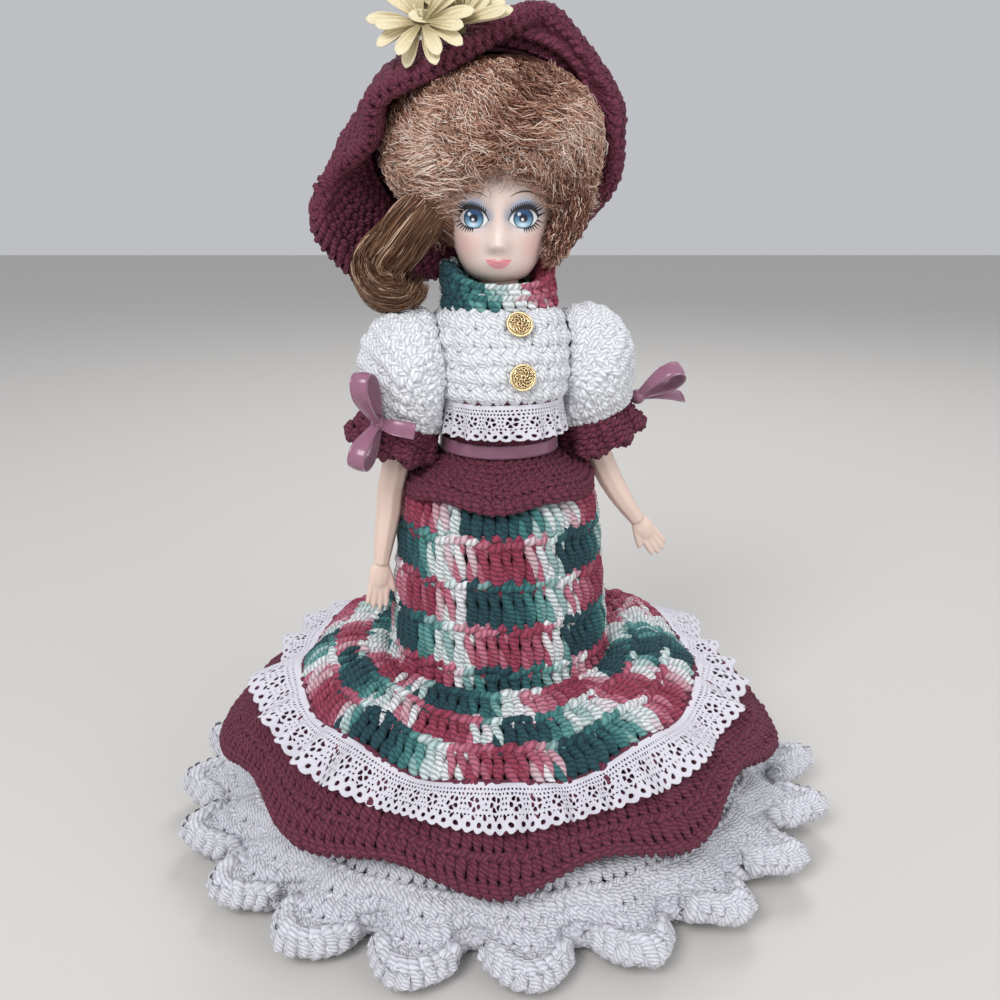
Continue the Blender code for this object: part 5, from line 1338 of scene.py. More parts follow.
def bow(word, side, turn, ways):
    """A satin bow tied at the cuff: open loops and tails of ribbon from a wrapped knot."""
    band = between(CUFF_TOP_RADIUS, CUFF_RIM_RADIUS, 0.3) + YARN_WALL / 2 + RIBBON_WALL + GAP * 4
    spoke = Vector((math.cos(turn), math.sin(turn), 0))
    knot = cuff_frame(side) @ (spoke * (band + KNOT_RADIUS) - Vector((0, 0, RIBBON_WIDTH / 2)))
    facing = (cuff_frame(side).to_3x3() @ spoke).normalized()
    pieces = []
    for kind, way, share in ways:
        along = Vector(way).normalized()
        across = facing.cross(along).normalized()
        lift = along.cross(across)
        steps = np.linspace(0, 1, 40 if kind == "loop" else 16)
        if kind == "loop":
            angle = steps * FULL_TURN
            reach = (1 - np.cos(angle)) / 2
            x = LOOP_LENGTH * 1.3 * share * reach
            z = LOOP_OPEN * 1.5 * np.sin(angle) * (0.25 + 0.75 * reach)
            width = RIBBON_WIDTH * (0.50 + 0.80 * np.minimum(1, reach * 1.5))
        else:
            x = TAIL_LENGTH * 1.1 * share * steps
            z = 0.0016 * np.sin(steps * 3.6)
            width = RIBBON_WIDTH * (0.6 + 0.55 * np.minimum(1, steps * 2))
        path = [Vector(knot) + along * a + lift * b for a, b in zip(x, z)]
        pieces.append(ribbon_strip(f"{word}_{kind}", path, [across] * len(steps), width, mauve_satin, cup=0.0005))
    bpy.ops.mesh.primitive_uv_sphere_add(segments=24, ring_count=16, radius=KNOT_RADIUS)
    wrap = bpy.context.active_object
    for vertex in wrap.data.vertices:
        crease = 1 + 0.08 * math.sin(9 * math.atan2(vertex.co.y, vertex.co.x))
        vertex.co = knot + vertex.co * crease
    wrap.data.materials.append(mauve_satin)
    for polygon in wrap.data.polygons:
        polygon.use_smooth = True
    made = joined_pieces(f"bow_{word}_visual", [wrap, *pieces])
    made.data.transform(TURNED)
    put(made, f"arm_{word}", f"bow_{word}", finish="mauve_satin")


def sleeves():
    for word, side in SIDES:
        body = f"arm_{word}"
        middle = (TURNED @ Vector((side * SLEEVE_OUT, 0, SLEEVE_MIDDLE)))
        wall = Wall(lambda place, turn: sleeve_point(side, place, turn), spin=BUST_TURN, outward_from=middle * 0.92)
        crocheted(f"sleeve_{word}", wall, 8, 0.0046, 0.00155, PUFFY_STITCH, white_yarn, white_shade_cloth, body,
                  [f"sleeve_{word}"], "white_yarn", RNG, sink=0.0006, first=0.04)
        wall = Wall(lambda place, turn: cuff_point(side, place, turn), spin=BUST_TURN)
        crocheted(f"cuff_{word}", wall, 3, 0.0036, 0.00120, BUMP_STITCH, maroon_yarn, maroon_shade_cloth, body,
                  [f"cuff_{word}"], "maroon_yarn", RNG, both=True, sink=0.0)
        band = backing(f"cuff_ribbon_{word}_visual", wall, 0.12, 0.12 + RIBBON_WIDTH / CUFF_DROP * 0.8, 0.0005, mauve_satin,
                       4, 160, 0.0016)
        put(band, body, f"cuff_ribbon_{word}", finish="mauve_satin")
    for word, side, turn, ways in BOW_SHARES:
        bow(word, side, turn, ways)


bust()
sleeves()

# Lace on the skirt and the hat


def hem_lace():
    share = SKIRT_LACE_WIDTH / (FLOUNCE_RADIUS - FLARE_RADIUS) * 0.8
    lace = pierced("skirt_lace_visual", flounce_wall, 0.0, share, SKIRT_LACE_WIDTH * 1000, lace_cloth, cell=0.30,
                   out=0.0030, fold=lambda v, turn: v ** 0.8 * (0.0004 + 0.0034 * (1 + np.sin(26 * turn + 2.6 * np.sin(5 * turn)))))
    put(lace, "dressed_torso", "skirt_lace", finish="lace")


# Hat

CROWN_FRAME = hat_frame()
crown_wall = Wall(crown_point, outward_from=CROWN_MIDDLE)
brim_wall = Wall(brim_point, 32, 288)


def hat():
    crocheted("hat_crown", crown_wall, 9, 0.0040, 0.0013, SINGLE_STITCH, maroon_yarn, maroon_shade_cloth, "head",
              ["hat_crown"], "maroon_yarn", RNG, sink=0.0004, first=0.02)
    crocheted("hat_brim", brim_wall, 7, 0.0040, 0.0014, BUMP_STITCH, maroon_yarn, maroon_shade_cloth, "head",
              ["hat_brim"], "maroon_yarn", RNG, both=True, ground_steps=288)
    for side in (1, -1):
        hem_cord("hat_brim_edge" + ("_under" if side < 0 else ""), brim_wall, 0.93, 0.0015, EDGE_STITCH, 0.0038, maroon_yarn,
                 "head", "maroon_yarn", RNG, width=0.09, side=side)
    lace_out = (YARN_WALL + LACE_WALL) / 2 + GAP * 2
    foot = 0.90
    top = foot - HAT_LACE_WIDTH / CROWN_HALF_WIDTH
    lace_wall = Wall(lambda place, turn: crown_point(place, turn, lace_out), outward_from=CROWN_MIDDLE)
    lace = pierced("hat_lace_visual", lace_wall, top, foot, HAT_LACE_WIDTH * 1000, lace_cloth, cell=0.25,
                   out=0.0026, fold=lambda v, turn: v * 0.0007 * (1 + np.sin(30 * turn)))
    put(lace, "head", "hat_lace", finish="lace")
    share = RIBBON_WIDTH / CROWN_HALF_WIDTH
    band = backing("hat_ribbon_visual", lace_wall, top - share - 0.01, top - 0.01, 0.0006, blue_satin, 4, 160, 0.0029)
    put(band, "head", "hat_ribbon", finish="blue_satin")


# Daisies


DAISY_LOOK = (-0.12, -0.86, 0.50)  # the flowers turn their faces forward, more than the solids do
DAISY_NUDGES = ((0.0026, -0.0088, -0.0040), (0.0030, -0.0076, 0.0012))
DAISY_FANS = ((0.0, FULL_TURN), (-0.35, math.pi + 0.25))  # the petals of the second one fan up, clear of the brim


def petal(middle, right, up, facing, turn, length, width, curl, lean):
    """One ribbed spoon petal, as rows of points."""
    along = right * math.cos(turn) + up * math.sin(turn)
    across = facing.cross(along)
    rows = []
    for i in range(15):
        t = i / 14
        swell = 0.20 + 0.80 * math.sin(math.pi * 0.60 * min(1.0, t * 1.15) ** 1.3)
        half = width / 2 * swell * math.sqrt(max(0.02, 1 - max(0.0, (t - 0.72) / 0.28) ** 2.4))
        height = length * (curl * t ** 1.8 + lean * t)
        row = []
        for j in range(19):
            w = (j / 9 - 1)
            rib = 0.00030 * math.cos(w * math.pi * 4) * math.sin(math.pi * min(1.0, t * 1.1))
            cup = length * 0.10 * w * w * math.sin(math.pi * t) + rib
            row.append(middle + along * length * t * (1 - 0.12 * lean) + across * half * w + facing * (height + cup))
        rows.append(row)
    return rows


def daisies():
    facing = Vector(DAISY_LOOK).normalized()
    right = facing.cross(Vector((0, 0, 1))).normalized()
    up = right.cross(facing)
    solid_facing = Vector(DAISY_FACING).normalized()
    solid_right = solid_facing.cross(Vector((0, 0, 1))).normalized()
    lace_out = (YARN_WALL + LACE_WALL) / 2 + GAP * 2
    for number, (out, sideways, _, roll) in enumerate(DAISY_SHARES, 1):
        middle = crown_point(0.90, DAISY_TURN, lace_out) + (solid_facing * out + solid_right * sideways) * PETAL_LENGTH
        middle += Vector(DAISY_NUDGES[number - 1])
        verts, faces, tones = [], [], []
        for layer in range(2):
            count = PETAL_COUNT - layer * 2
            low, high = DAISY_FANS[number - 1]
            for k in range(count):
                turn = low + (high - low) * (k + 0.5 * layer) / count + roll * (number == 1) + RNG.normal(0, 0.08)
                length = PETAL_LENGTH * (1.12 - 0.14 * layer) * (1 + RNG.normal(0, 0.08))
                curl = 0.06 + 0.16 * RNG.random() + 0.14 * layer - 0.30 * max(0.0, -math.sin(turn))
                rows = petal(middle + facing * PETAL_WALL * (1 + layer), right, up, facing, turn, length,
                             PETAL_LENGTH * 0.33, curl, RNG.normal(0.06, 0.10))
                start, m = len(verts), len(rows[0])
                # each petal's tone runs out from the heart, where the ramp darkens it as painted shade
                tones += [i / (len(rows) - 1) for _ in range(2) for i in range(len(rows)) for _ in range(m)]
                for row in rows:
                    verts += [tuple(p) for p in row]
                for row in rows:
                    verts += [tuple(p - facing * PETAL_WALL * 0.5) for p in row]
                n, half = len(rows), len(rows) * m
                for i in range(n - 1):
                    for j in range(m - 1):
                        a = start + i * m + j
                        faces.append((a, a + 1, a + m + 1, a + m))
                        faces.append((a + half + m, a + half + m + 1, a + half + 1, a + half))
                ring = [start + i for i in range(m)] + [start + i * m + m - 1 for i in range(1, n)] \
                    + [start + (n - 1) * m + j for j in range(m - 2, -1, -1)] + [start + i * m for i in range(n - 2, 0, -1)]
                for a, b in zip(ring, ring[1:] + ring[:1]):
                    faces.append((b, a, a + half, b + half))
        flower = mesh_object(f"daisy_{number}_petals", verts, np.array(faces), silk_cloth,
                             attributes={"hue": ("FLOAT", tones)})
        bpy.ops.mesh.primitive_cone_add(vertices=16, radius1=CALYX_RADIUS * 0.7, radius2=CALYX_RADIUS, depth=PETAL_LENGTH * 0.3)
        calyx = bpy.context.active_object
        calyx.data.transform(Matrix.Translation(middle - facing * PETAL_LENGTH * 0.12)
                             @ Vector((0, 0, 1)).rotation_difference(facing).to_matrix().to_4x4())
        calyx.data.materials.append(calyx_cloth)
        made = joined_pieces(f"daisy_{number}_visual", [flower, calyx])
        put(made, "head", f"daisy_{number}", finish="silk")


# Head: a fine grid on the head's form, painted by formulas


def soft(value, low, high):
    """0 under low, 1 over high, smooth between."""
    t = np.clip((value - low) / (high - low), 0, 1)
    return t * t * (3 - 2 * t)


def mixed_in(paint, colour, share):
    paint += (np.array(colour) - paint) * np.clip(share, 0, 1)[:, None]


SKIN = (0.840, 0.680, 0.610)
BLUSH = (0.86, 0.42, 0.40)
LINER = (0.012, 0.010, 0.012)
IRIS_DARK = (0.030, 0.110, 0.270)
# darker eyeshadow at the inner corner, with painted shade beside the nose
IRIS_LIGHT = (0.30, 0.62, 0.82)
EYE_WHITE = (0.84, 0.88, 0.90)
EYE_SHADOW = (0.27, 0.44, 0.68)
INNER_EYESHADOW_AND_SHADE = (0.16, 0.17, 0.22)
LIP_COLOUR = (0.90, 0.34, 0.38)
BROW_COLOUR = (0.045, 0.020, 0.018)


def lashes(paint, u, v, roots, lengths, leans, thick):
    """Painted lashes: short tapered strokes from their roots."""
    for (root, foot), length, lean in zip(roots, lengths, leans):
        dx, dz = math.sin(lean), math.cos(lean)
        along = (u - root) * dx + (v - foot) * dz
        off = np.abs(-(u - root) * dz + (v - foot) * dx + 0.25 * np.clip(along / length, 0, 1) ** 2)
        width = thick * (1 - 0.8 * np.clip(along / length, 0, 1))
        mixed_in(paint, LINER, soft(width - off, -0.10, 0.08) * ((along > -0.2) & (along < length)))


def painted_eye(paint, x, z, side):
    """Eye, lids, lashes and brow on one side. x and z are in mm; u runs outward from the eye's middle."""
    u = side * x - EYE_SPACING * 1000
    v = z - EYE_HEIGHT * 1000
    half = 5.0

    def lids(at):
        share = np.clip(1 - (np.abs(at) / half) ** 2.2, 0, 1)
        return 3.55 * share ** 0.60 + 0.10 * at, -3.25 * share ** 0.62 + 0.02 * at

    upper, lower = lids(u)
    inside = soft(np.minimum(upper - v, v - lower), -0.08, 0.10) * (np.abs(u) < half)
    lid = v - upper
    band = np.clip(1 - (np.abs(u + 0.1) / (half + 2.2)) ** 2, 0, 1)
    shadow = soft(lid, -0.6, 0.3) * (1 - soft(lid, 1.4, 4.8)) * band ** 0.6
    inner = soft(-u, -1.5, 5.0)
    mixed_in(paint, EYE_SHADOW, shadow * (0.82 - 0.15 * inner))
    # darker eyeshadow at the inner corner, carried down beside the nose as painted shade
    mixed_in(paint, INNER_EYESHADOW_AND_SHADE, np.exp(-(((u + 4.6) / 2.6) ** 2 + ((v - 1.2) / 4.2) ** 2)) * 0.62)
    mixed_in(paint, (0.50, 0.62, 0.80), soft(lower - v, 0.0, 0.5) * (1 - soft(lower - v, 0.6, 2.6)) * band * 0.30)
    mixed_in(paint, EYE_WHITE, inside)
    reach = np.hypot(u, v)
    ring = soft(3.55 - reach, -0.10, 0.12) * inside
    glow = np.clip((0.9 - v) / 3.4, 0, 1) ** 0.8
    iris = np.array(IRIS_DARK)[None] * (1 - glow[:, None]) + np.array(IRIS_LIGHT)[None] * glow[:, None]
    spokes = 0.84 + 0.16 * np.cos(30 * np.arctan2(v, u))
    iris = iris * (spokes * (1 - 0.80 * soft(reach, 2.7, 3.4)))[:, None]
    paint += (iris - paint) * ring[:, None]
    mixed_in(paint, (0.008, 0.012, 0.030), soft(1.50 - reach, -0.10, 0.12) * inside)
    # painted highlights: a light patch low in the iris and white glints on the pupil and iris, for reflections on the
    # glossy eye
    mixed_in(paint, (0.86, 0.94, 1.0), np.exp(-(((u + 0.3 * side) / 1.5) ** 2 + ((v + 2.0) / 0.75) ** 2)) * ring * 0.75)
    mixed_in(paint, (0.97, 0.98, 1.0), soft(0.50 - np.hypot(u + side * 0.3, v + 0.35), -0.06, 0.10) * inside)
    mixed_in(paint, (0.90, 0.95, 1.0), soft(0.62 - np.hypot(u + side * 1.5, v - 1.5), -0.10, 0.12) * inside * 0.85)
    # painted shade: the upper lid's shadow across the top of the eye
    mixed_in(paint, (0.06, 0.08, 0.14), soft(v - upper + 1.3, 0.0, 1.2) * inside * 0.55)
    thick = 0.95 + 0.65 * soft(u, -4, 3.5)
    mixed_in(paint, LINER, soft(thick / 2 - np.abs(lid - thick * 0.20), -0.10, 0.10) * (np.abs(u) < half + 0.3))
    mixed_in(paint, LINER, soft(0.22 - np.abs(v - lower), -0.08, 0.10) * (np.abs(u) < half) * (0.45 + 0.5 * soft(u, -3, 1)))
    places = np.linspace(0, 1, 15)
    roots = [(at, float(lids(np.array(at))[0]) + 0.2) for at in -3.9 + 8.9 * places]
    lashes(paint, u, v, roots, 1.5 + 1.7 * places ** 1.2, np.radians(-22 + 84 * places), 0.42)
    roots = [(at, float(lids(np.array(at))[1]) - 0.1) for at in 0.4 + 4.4 * places[::2]]
    lashes(paint, u, v, roots, 1.3 + 1.4 * places[::2], np.radians(170 - 62 * places[::2]), 0.34)
    arch = 7.3 + 1.7 * np.clip(1 - ((u - 0.6) / 5.0) ** 2, -0.6, 1)
    line = 0.30 * (1 - (np.abs(u - 0.6) / 6.2) ** 2)
    mixed_in(paint, BROW_COLOUR, soft(line - np.abs(v - arch), -0.12, 0.12) * (np.abs(u - 0.6) < 5.4) * 0.95)


def painted_face(verts):
    """Colours of the face for points in metres: the doll's own paint, with painted shade and painted highlights about
    the eyes and lips.
    """
    x, y, z = (verts * 1000).T
    paint = np.tile(np.array(SKIN), (len(verts), 1))
    front = y < 0
    chin, mouth, nose = CHIN_HEIGHT * 1000, MOUTH_HEIGHT * 1000, NOSE_HEIGHT * 1000
    cheek = np.exp(-(((np.abs(x) - 12.5) / 5.0) ** 2 + ((z - nose + 1.0) / 5.0) ** 2))
    mixed_in(paint, BLUSH, cheek * 0.42 * front)
    mixed_in(paint, BLUSH, np.exp(-((x / 3.0) ** 2 + ((z - chin - 1.5) / 2.5) ** 2)) * 0.12 * front)
    for side in (-1, 1):
        painted_eye(paint, np.where(front, x, 99.0), z, side)
        nostril = np.exp(-(((side * x - 1.25) / 0.5) ** 2 + ((z - nose + 2.0) / 0.32) ** 2))
        mixed_in(paint, (0.62, 0.30, 0.26), nostril * 0.55 * front)
    half = 4.6
    share = np.clip(1 - (np.abs(x) / half) ** 2, 0, 1)
    bow_line = 1.15 * share ** 0.8 - 0.50 * np.exp(-(x / 0.9) ** 2) + 0.25 * np.exp(-((np.abs(x) - 1.4) / 0.9) ** 2)
    lower = -2.3 * share ** 0.6
    v = z - mouth - 0.045 * x ** 2
    lips = soft(np.minimum(bow_line - v, v - lower), -0.10, 0.22) * (np.abs(x) < half) * front
    mixed_in(paint, LIP_COLOUR, lips * 0.95)
    # painted shade in the crease between the lips
    mixed_in(paint, (0.45, 0.08, 0.10), soft(0.16 - np.abs(v + 0.05 + 0.12 * np.cos(x * 1.3)), -0.10, 0.14) * (np.abs(x) < half * 0.92) * front * 0.6)
    # painted highlight on the lower lip
    mixed_in(paint, (0.95, 0.62, 0.62), np.exp(-((x / 1.6) ** 2 + ((v + 0.95) / 0.35) ** 2)) * 0.4 * front)
    return paint


def head():
    fine = np.linspace(-math.pi, 0, 401)[:-1]
    coarse = np.linspace(0, math.pi, 49)[:-1]
    turns = np.concatenate([fine, coarse])
    heights = np.concatenate([np.linspace(-1, -0.97, 8)[:-1], np.linspace(-0.97, 0.2, 251)[:-1], np.linspace(0.2, 1, 36)])
    verts = np.array([head_point((math.cos(t) * math.sqrt(max(0.0, 1 - h * h)), math.sin(t) * math.sqrt(max(0.0, 1 - h * h)), h))
                      for h in heights for t in turns])
    n, m = len(heights), len(turns)
    index = np.arange(n * m).reshape(n, m)
    after = np.roll(index, -1, 1)
    quads = np.stack([index[:-1], after[:-1], after[1:], index[1:]], -1).reshape(-1, 4)
    paint = np.concatenate([painted_face(verts), np.ones((len(verts), 1))], 1)
    made = mesh_object("head_visual", verts, quads, face_vinyl, attributes={"paint": ("FLOAT_COLOR", paint)})
    put(made, "head", "head", finish="face_vinyl")


# Hair: a cap coloured dark as painted shade under the fibres, then fibres in locks over it


def cap_place(turn, height, out=0.0):
    """A point of the cap of hair: turn round from +X, height from -1 to 1."""
    girth = np.sqrt(np.maximum(0.0, 1 - height ** 2))
    out = out + HAIR_SWELL * soft(height, -0.1, 0.75)
    out = out + HAIR_LEFT * np.maximum(0.0, -np.cos(turn)) ** 4 * soft(height, -0.7, 0.1) * soft(-height, -0.95, -0.6)
    return np.stack([HAIR_MIDDLE[0] + (HAIR_HALF_WIDTH + out) * girth * np.cos(turn),
                     HAIR_MIDDLE[1] + (HAIR_HALF_DEPTH + out) * girth * np.sin(turn),
                     HAIR_MIDDLE[2] + (HAIR_HALF_TALL + out) * height], -1)


def fibres(name, paths, radius, tones, material, body, finish, taper=0.35):
    strands = Strands(3)
    paths = np.asarray(paths)
    points = paths.shape[1]
    shares = np.linspace(0, 1, points)
    thin = np.minimum(1, np.minimum(shares, 1 - shares) / taper * 2) * 0.8 + 0.2
    strands.add(paths, np.array([0.3, 0.2, 0.93]), radius * thin[None, :] * np.ones((len(paths), 1)), tones)
    made = strands.make(name, material)
    return put(made, body, finish=finish)


def wavy(paths, amount, rng, waves=3.0, crimp=0.0):
    """Bends each path a little: a slow wave, and a fine crimp."""
    count, points = paths.shape[:2]
    t = np.linspace(0, 1, points)[None, :, None]
    ways = rng.normal(0, 1, (count, 1, 3))
    more = rng.normal(0, 1, (count, 1, 3))
    phase = rng.uniform(0, FULL_TURN, (count, 1, 1))
    bend = ways * np.sin(t * waves * FULL_TURN / 2 + phase) * amount
    bend += more * np.sin(t * waves * 4.3 * FULL_TURN / 2 + phase * 3) * crimp
    return paths + bend * np.minimum(1, t * 4)


def lock_paths(stations, count, rng, points=26, twist=1.2, fill=1.0):
    """Fibres that run along a lock, spread over its section and twisted about its middle."""
    rows = [(k / (len(stations) - 1), *place, radius) for k, (place, radius) in enumerate(stations)]
    line = np.array([eased(rows, k / (points - 1)) for k in range(points)])
    middle, radius = line[:, :3], line[:, 3]
    along = np.gradient(middle, axis=0)
    along /= np.linalg.norm(along, axis=1, keepdims=True)
    side = np.cross(along, np.array([0.0, -1.0, 0.2]))
    side /= np.linalg.norm(side, axis=1, keepdims=True)
    up = np.cross(side, along)
    angle = rng.uniform(0, FULL_TURN, (count, 1)) + twist * np.linspace(0, 1, points)[None]
    reach = (rng.uniform(0.55, 1.0, (count, 1)) ** 0.5) * radius[None] * fill
    return (middle[None] + side[None] * (np.cos(angle) * reach)[..., None] + up[None] * (np.sin(angle) * reach)[..., None])


def trimmed(paths, rng, least):
    """Cuts the fibres to uneven lengths, so that a lock ends in loose tips."""
    count, points = paths.shape[:2]
    at = rng.uniform(least, 1, (count, 1)) * np.linspace(0, points - 1, points)[None]
    low = np.minimum(at.astype(int), points - 2)
    share = (at - low)[..., None]
    rows = np.arange(count)[:, None]
    return paths[rows, low] * (1 - share) + paths[rows, low + 1] * share


LOCK_FALL = [(0.74, -0.46, 0.10), (0.78, -0.50, 0.40), (0.71, -0.54, 0.66), (0.61, -0.56, 0.88), (0.53, -0.56, 1.06)]
FRINGE_FOOT = 0.00
HAIR_SWELL = 0.0050
HAIR_LEFT = 0.0065  # the hair stands out more at the viewer's left, up to the hat's brim


def clumps(rng, number, each, low, high, width):
    """Turns of fibres gathered in clumps. Returns each fibre's turn, its clump and its own phase."""
    middles = np.linspace(low, high, number) + rng.normal(0, 0.01, number)
    clump = np.repeat(np.arange(number), each)
    return middles[clump] + rng.normal(0, width, number * each), clump, rng.normal(0, 0.22, number * each)


def curled(paths, rng, clump, own, reach, waves):
    """Winds each path in a coil that its whole clump shares, with a little frizz of its own."""
    count, points = paths.shape[:2]
    number = clump.max() + 1
    t = np.linspace(0, 1, points)[None, :]
    phase = rng.uniform(0, FULL_TURN, number)[clump] + own
    pace = rng.normal(waves, waves * 0.14, number)[clump]
    size = reach * (0.6 + 0.8 * rng.random(number))[clump] * (1 + rng.normal(0, 0.2, count))
    angle = phase[:, None] + pace[:, None] * FULL_TURN * t
    along = np.gradient(paths, axis=1)
    along /= np.maximum(np.linalg.norm(along, axis=2, keepdims=True), 1e-12)
    middle = np.array(HAIR_MIDDLE)
    side = np.cross(along, paths - middle)
    side /= np.maximum(np.linalg.norm(side, axis=2, keepdims=True), 1e-12)
    off = np.cross(side, along)
    grown = (size[:, None] * np.minimum(1, 0.15 + t * 1.6))[..., None]
    frizz = rng.normal(0, 0.00016, (count, points, 3))
    return paths + side * np.cos(angle)[..., None] * grown + off * np.sin(angle)[..., None] * grown * 0.7 + frizz


def hair():
    rng = np.random.default_rng(SEED + 3)
    bpy.ops.mesh.primitive_uv_sphere_add(segments=96, ring_count=64, radius=1)
    cap = bpy.context.active_object
    cap.name = "hair_cap_visual"
    for vertex in cap.data.vertices:
        x, y, z = vertex.co
        vertex.co = (HAIR_MIDDLE[0] + x * (HAIR_HALF_WIDTH - 0.0022), HAIR_MIDDLE[1] + y * (HAIR_HALF_DEPTH - 0.0022),
                     HAIR_MIDDLE[2] + z * (HAIR_HALF_TALL - 0.0022))
    work = bmesh.new()
    work.from_mesh(cap.data)
    gone = [v for v in work.verts if v.co.y < -HEAD_HALF_DEPTH * 0.3 and v.co.z < HAIRLINE + 0.0035
            and (v.co.x / FACE_HALF_WIDTH) ** 2 + (max(0.0, v.co.z - EYE_HEIGHT) / (HAIRLINE + 0.0035 - EYE_HEIGHT)) ** 2 < 1]
    bmesh.ops.delete(work, geom=gone, context="VERTS")
    work.to_mesh(cap.data)
    work.free()
    thick = cap.modifiers.new("wall", "SOLIDIFY")
    thick.thickness = 0.0012
    thick.offset = -1
    # the cap's dark colour is painted shade among the fibres
    cap.data.materials.append(hair_shade_ground)
    for polygon in cap.data.polygons:
        polygon.use_smooth = True
    put(cap, "head", "hair_cap", "fringe", "side_curl", "side_lock", finish="hair")

    # Long fibres from the crown down the cap, all round except over the face
    points = 30
    turn, clump, own = clumps(rng, 150, 16, -math.pi, math.pi, 0.035)
    kept = np.abs(turn + math.pi / 2) > 0.80
    turn, clump, own = turn[kept], clump[kept], own[kept]
    count = len(turn)
    heights = np.linspace(0.99, -0.88, points)
    out = rng.uniform(-0.0012, 0.0010, (count, 1))
    paths = cap_place(turn[:, None], np.broadcast_to(heights, (count, points)), out)
    paths = curled(paths, rng, clump, own, 0.0011, 5.0)
    tones = np.clip(rng.normal(0.42, 0.20, count) + rng.normal(0, 0.10, clump.max() + 1)[clump], 0, 1)
    fibres("hair_cap_fibres", paths, 0.00020, tones, hair_fibre, "head", "hair")

    # Frizzy fringe: curly fibres from the crown, over the brow
    points = 56
    start, clump, own = clumps(rng, 210, 16, -1.42, 1.42, 0.030)
    count = len(start)
    t = np.linspace(0, 1, points)[None]
    end = start * 0.86 + rng.normal(0, 0.20, clump.max() + 1)[clump] + rng.normal(0, 0.07, count)
    turn = -math.pi / 2 + start[:, None] * (1 - t) + end[:, None] * t
    turn += 0.13 * np.sin(7.5 * t + 5.0 * start[:, None]) * t + 0.07 * np.sin(15 * t - 9 * start[:, None]) * t
    low = FRINGE_FOOT + rng.normal(0, 0.07, clump.max() + 1)[clump] + rng.normal(0, 0.045, count)
    low = low - 0.62 * np.abs(start / 1.42) ** 2.2
    height = 0.97 + (low[:, None] - 0.97) * t ** 0.92
    puff = 0.0046 * np.sin(math.pi * np.clip(t * 1.12, 0, 1)) * (1 - 0.5 * np.abs(start[:, None]) / 1.42)
    out = rng.uniform(-0.0012, 0.0016, (count, 1)) + puff
    paths = curled(cap_place(turn, height, out), rng, clump, own * 1.6, 0.0021, 7.0)
    tones = rng.normal(0.50, 0.17, count) + rng.normal(0, 0.15, clump.max() + 1)[clump]
    # painted light and shade along the fibres: darker near the crown under the brim, lighter over the fringe's bulge
    painted_light_and_shade = tones[:, None] + 0.26 * np.sin(math.pi * t * 1.25 - 0.9) + 0.14 * np.sin(6 * t + 4 * start[:, None] + 1)
    fibres("fringe_fibres", wavy(paths, 0.0007, rng, 9.0, 0.00022), 0.00016, np.clip(painted_light_and_shade, 0, 1), hair_fibre, "head", "hair")

    # Stray frizz that stands off the fringe and the sides
    count, points = 900, 18
    at = rng.uniform(-1.9, 1.9, count)
    foot = rng.uniform(-0.35, 0.85, count) - 0.3 * (np.abs(at) > 1.1)
    t = np.linspace(0, 1, points)[None]
    turn = -math.pi / 2 + at[:, None] + rng.normal(0, 0.22, (count, 1)) * t
    height = np.clip(foot[:, None] - rng.uniform(0.05, 0.30, (count, 1)) * t, -0.8, 0.97)
    kept = ~((np.abs(at) < 0.9) & (height[:, -1] < FRINGE_FOOT - 0.12))
    out = 0.0030 + rng.uniform(0, 0.0022, (count, 1)) * t
    paths = wavy(cap_place(turn, height, out)[kept], 0.0012, rng, 3.0, 0.0006)
    tones = np.clip(rng.normal(0.74, 0.18, len(paths)), 0, 1)
    fibres("stray_fibres", paths, 0.00012, tones, hair_fibre, "head", "hair")

    # The side curl and the hanging lock
    for name, rows, radius, number, twist, thin, frizz, material in (
            ("side_curl", CURL_SHARES, CURL_RADIUS * 1.5, 2200, 0.9, 0.0, 0.0006, curl_fibre),
            ("side_lock", LOCK_FALL, LOCK_RADIUS * 1.45, 1500, 0.6, 0.78, 0.0013, hair_fibre)):
        stations = hair_path(rows, radius, 0.25)
        stations = [(place, size * (1 - thin * k / (len(stations) - 1))) for k, (place, size) in enumerate(stations)]
        paths = lock_paths(stations, number, rng, 30, twist, 1.0)
        paths = trimmed(wavy(paths, frizz, rng, 2.0 + frizz * 3000, frizz / 6), rng, 0.72)
        tones = np.clip(rng.normal(0.46, 0.30, number), 0, 1)
        fibres(name + "_fibres", paths, 0.00019, tones, material, "head", "hair")


# Vinyl body: the solids' own forms, rounded off


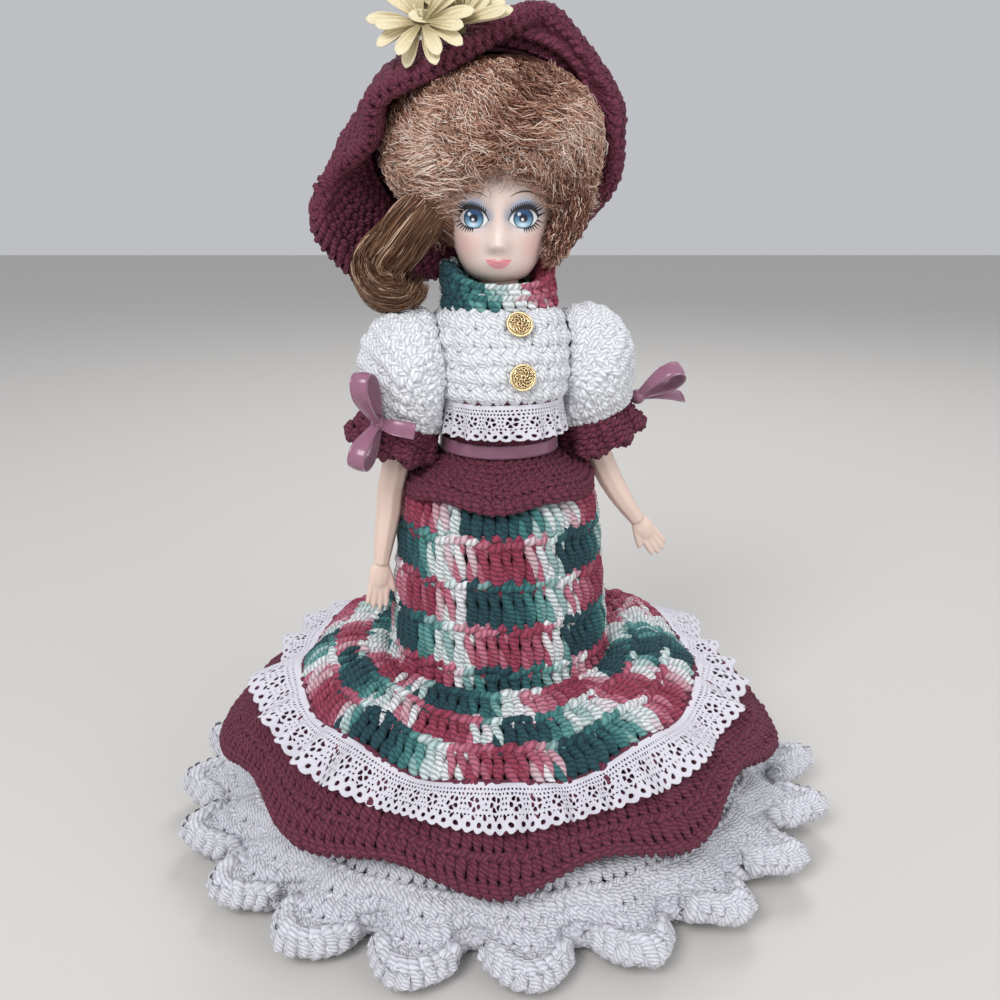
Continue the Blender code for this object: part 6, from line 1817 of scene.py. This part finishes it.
def vinyl_pieces():
    for node, body in (("torso", "dressed_torso"), ("arm_left", "arm_left"), ("arm_right", "arm_right"),
                       ("leg_left", "leg_left"), ("leg_right", "leg_right")):
        solid = frame["nodes"][node]
        mesh = solid.data.copy()
        mesh.transform(solid.matrix_world)
        made = bpy.data.objects.new(node + "_visual", mesh)
        bpy.context.scene.collection.objects.link(made)
        remesh = made.modifiers.new("skin", "REMESH")
        remesh.mode, remesh.voxel_size, remesh.use_smooth_shade = "VOXEL", 0.00045, True
        smooth = made.modifiers.new("soft", "SMOOTH")
        smooth.factor, smooth.iterations = 0.5, 7
        bpy.context.view_layer.update()
        shaped = bpy.data.meshes.new_from_object(made.evaluated_get(bpy.context.evaluated_depsgraph_get()))
        made.modifiers.clear()
        made.data = shaped
        made.data.materials.clear()
        made.data.materials.append(skin_vinyl)
        put(made, body, node, finish="vinyl")


hem_lace()
hat()
daisies()
head()
hair()
vinyl_pieces()

# Floor, lights and camera


def studio():
    bpy.ops.mesh.primitive_plane_add(size=8)
    floor = bpy.context.active_object
    floor.name = "floor"
    made, tree, shader = new_shader("floor", 0.7)
    shader.inputs["Base Color"].default_value = (0.62, 0.60, 0.57, 1)
    floor.data.materials.append(made)
    world = bpy.data.worlds.new("studio")
    bpy.context.scene.world = world
    world.use_nodes = True
    world.node_tree.nodes["Background"].inputs["Color"].default_value = (0.93, 0.95, 1.0, 1)
    world.node_tree.nodes["Background"].inputs["Strength"].default_value = 0.55
    for name, place, size, power in (("key", (-0.5, -1.0, 1.1), 0.6, 12.5), ("fill", (0.9, -0.7, 0.6), 0.9, 4.0),
                                     ("back", (0.2, 0.9, 1.2), 0.6, 6.0)):
        light = bpy.data.lights.new(name, "AREA")
        light.size = size
        light.energy = power
        lamp = bpy.data.objects.new(name, light)
        lamp.location = place
        lamp.rotation_euler = (Vector((0, 0, 0.16)) - Vector(place)).to_track_quat("-Z", "Y").to_euler()
        bpy.context.scene.collection.objects.link(lamp)
    lens = bpy.data.cameras.new("camera")
    lens.lens = 36
    lens.sensor_width = 36
    lens.clip_start = 0.01
    camera = bpy.data.objects.new("camera", lens)
    camera.location = (0.0005, -0.376, 0.248)
    camera.rotation_euler = (math.radians(90 - 17), 0, 0)
    bpy.context.scene.collection.objects.link(camera)
    bpy.context.scene.camera = camera
    scene = bpy.context.scene
    scene.view_settings.view_transform = "Standard"


studio()
bpy.context.view_layer.update()
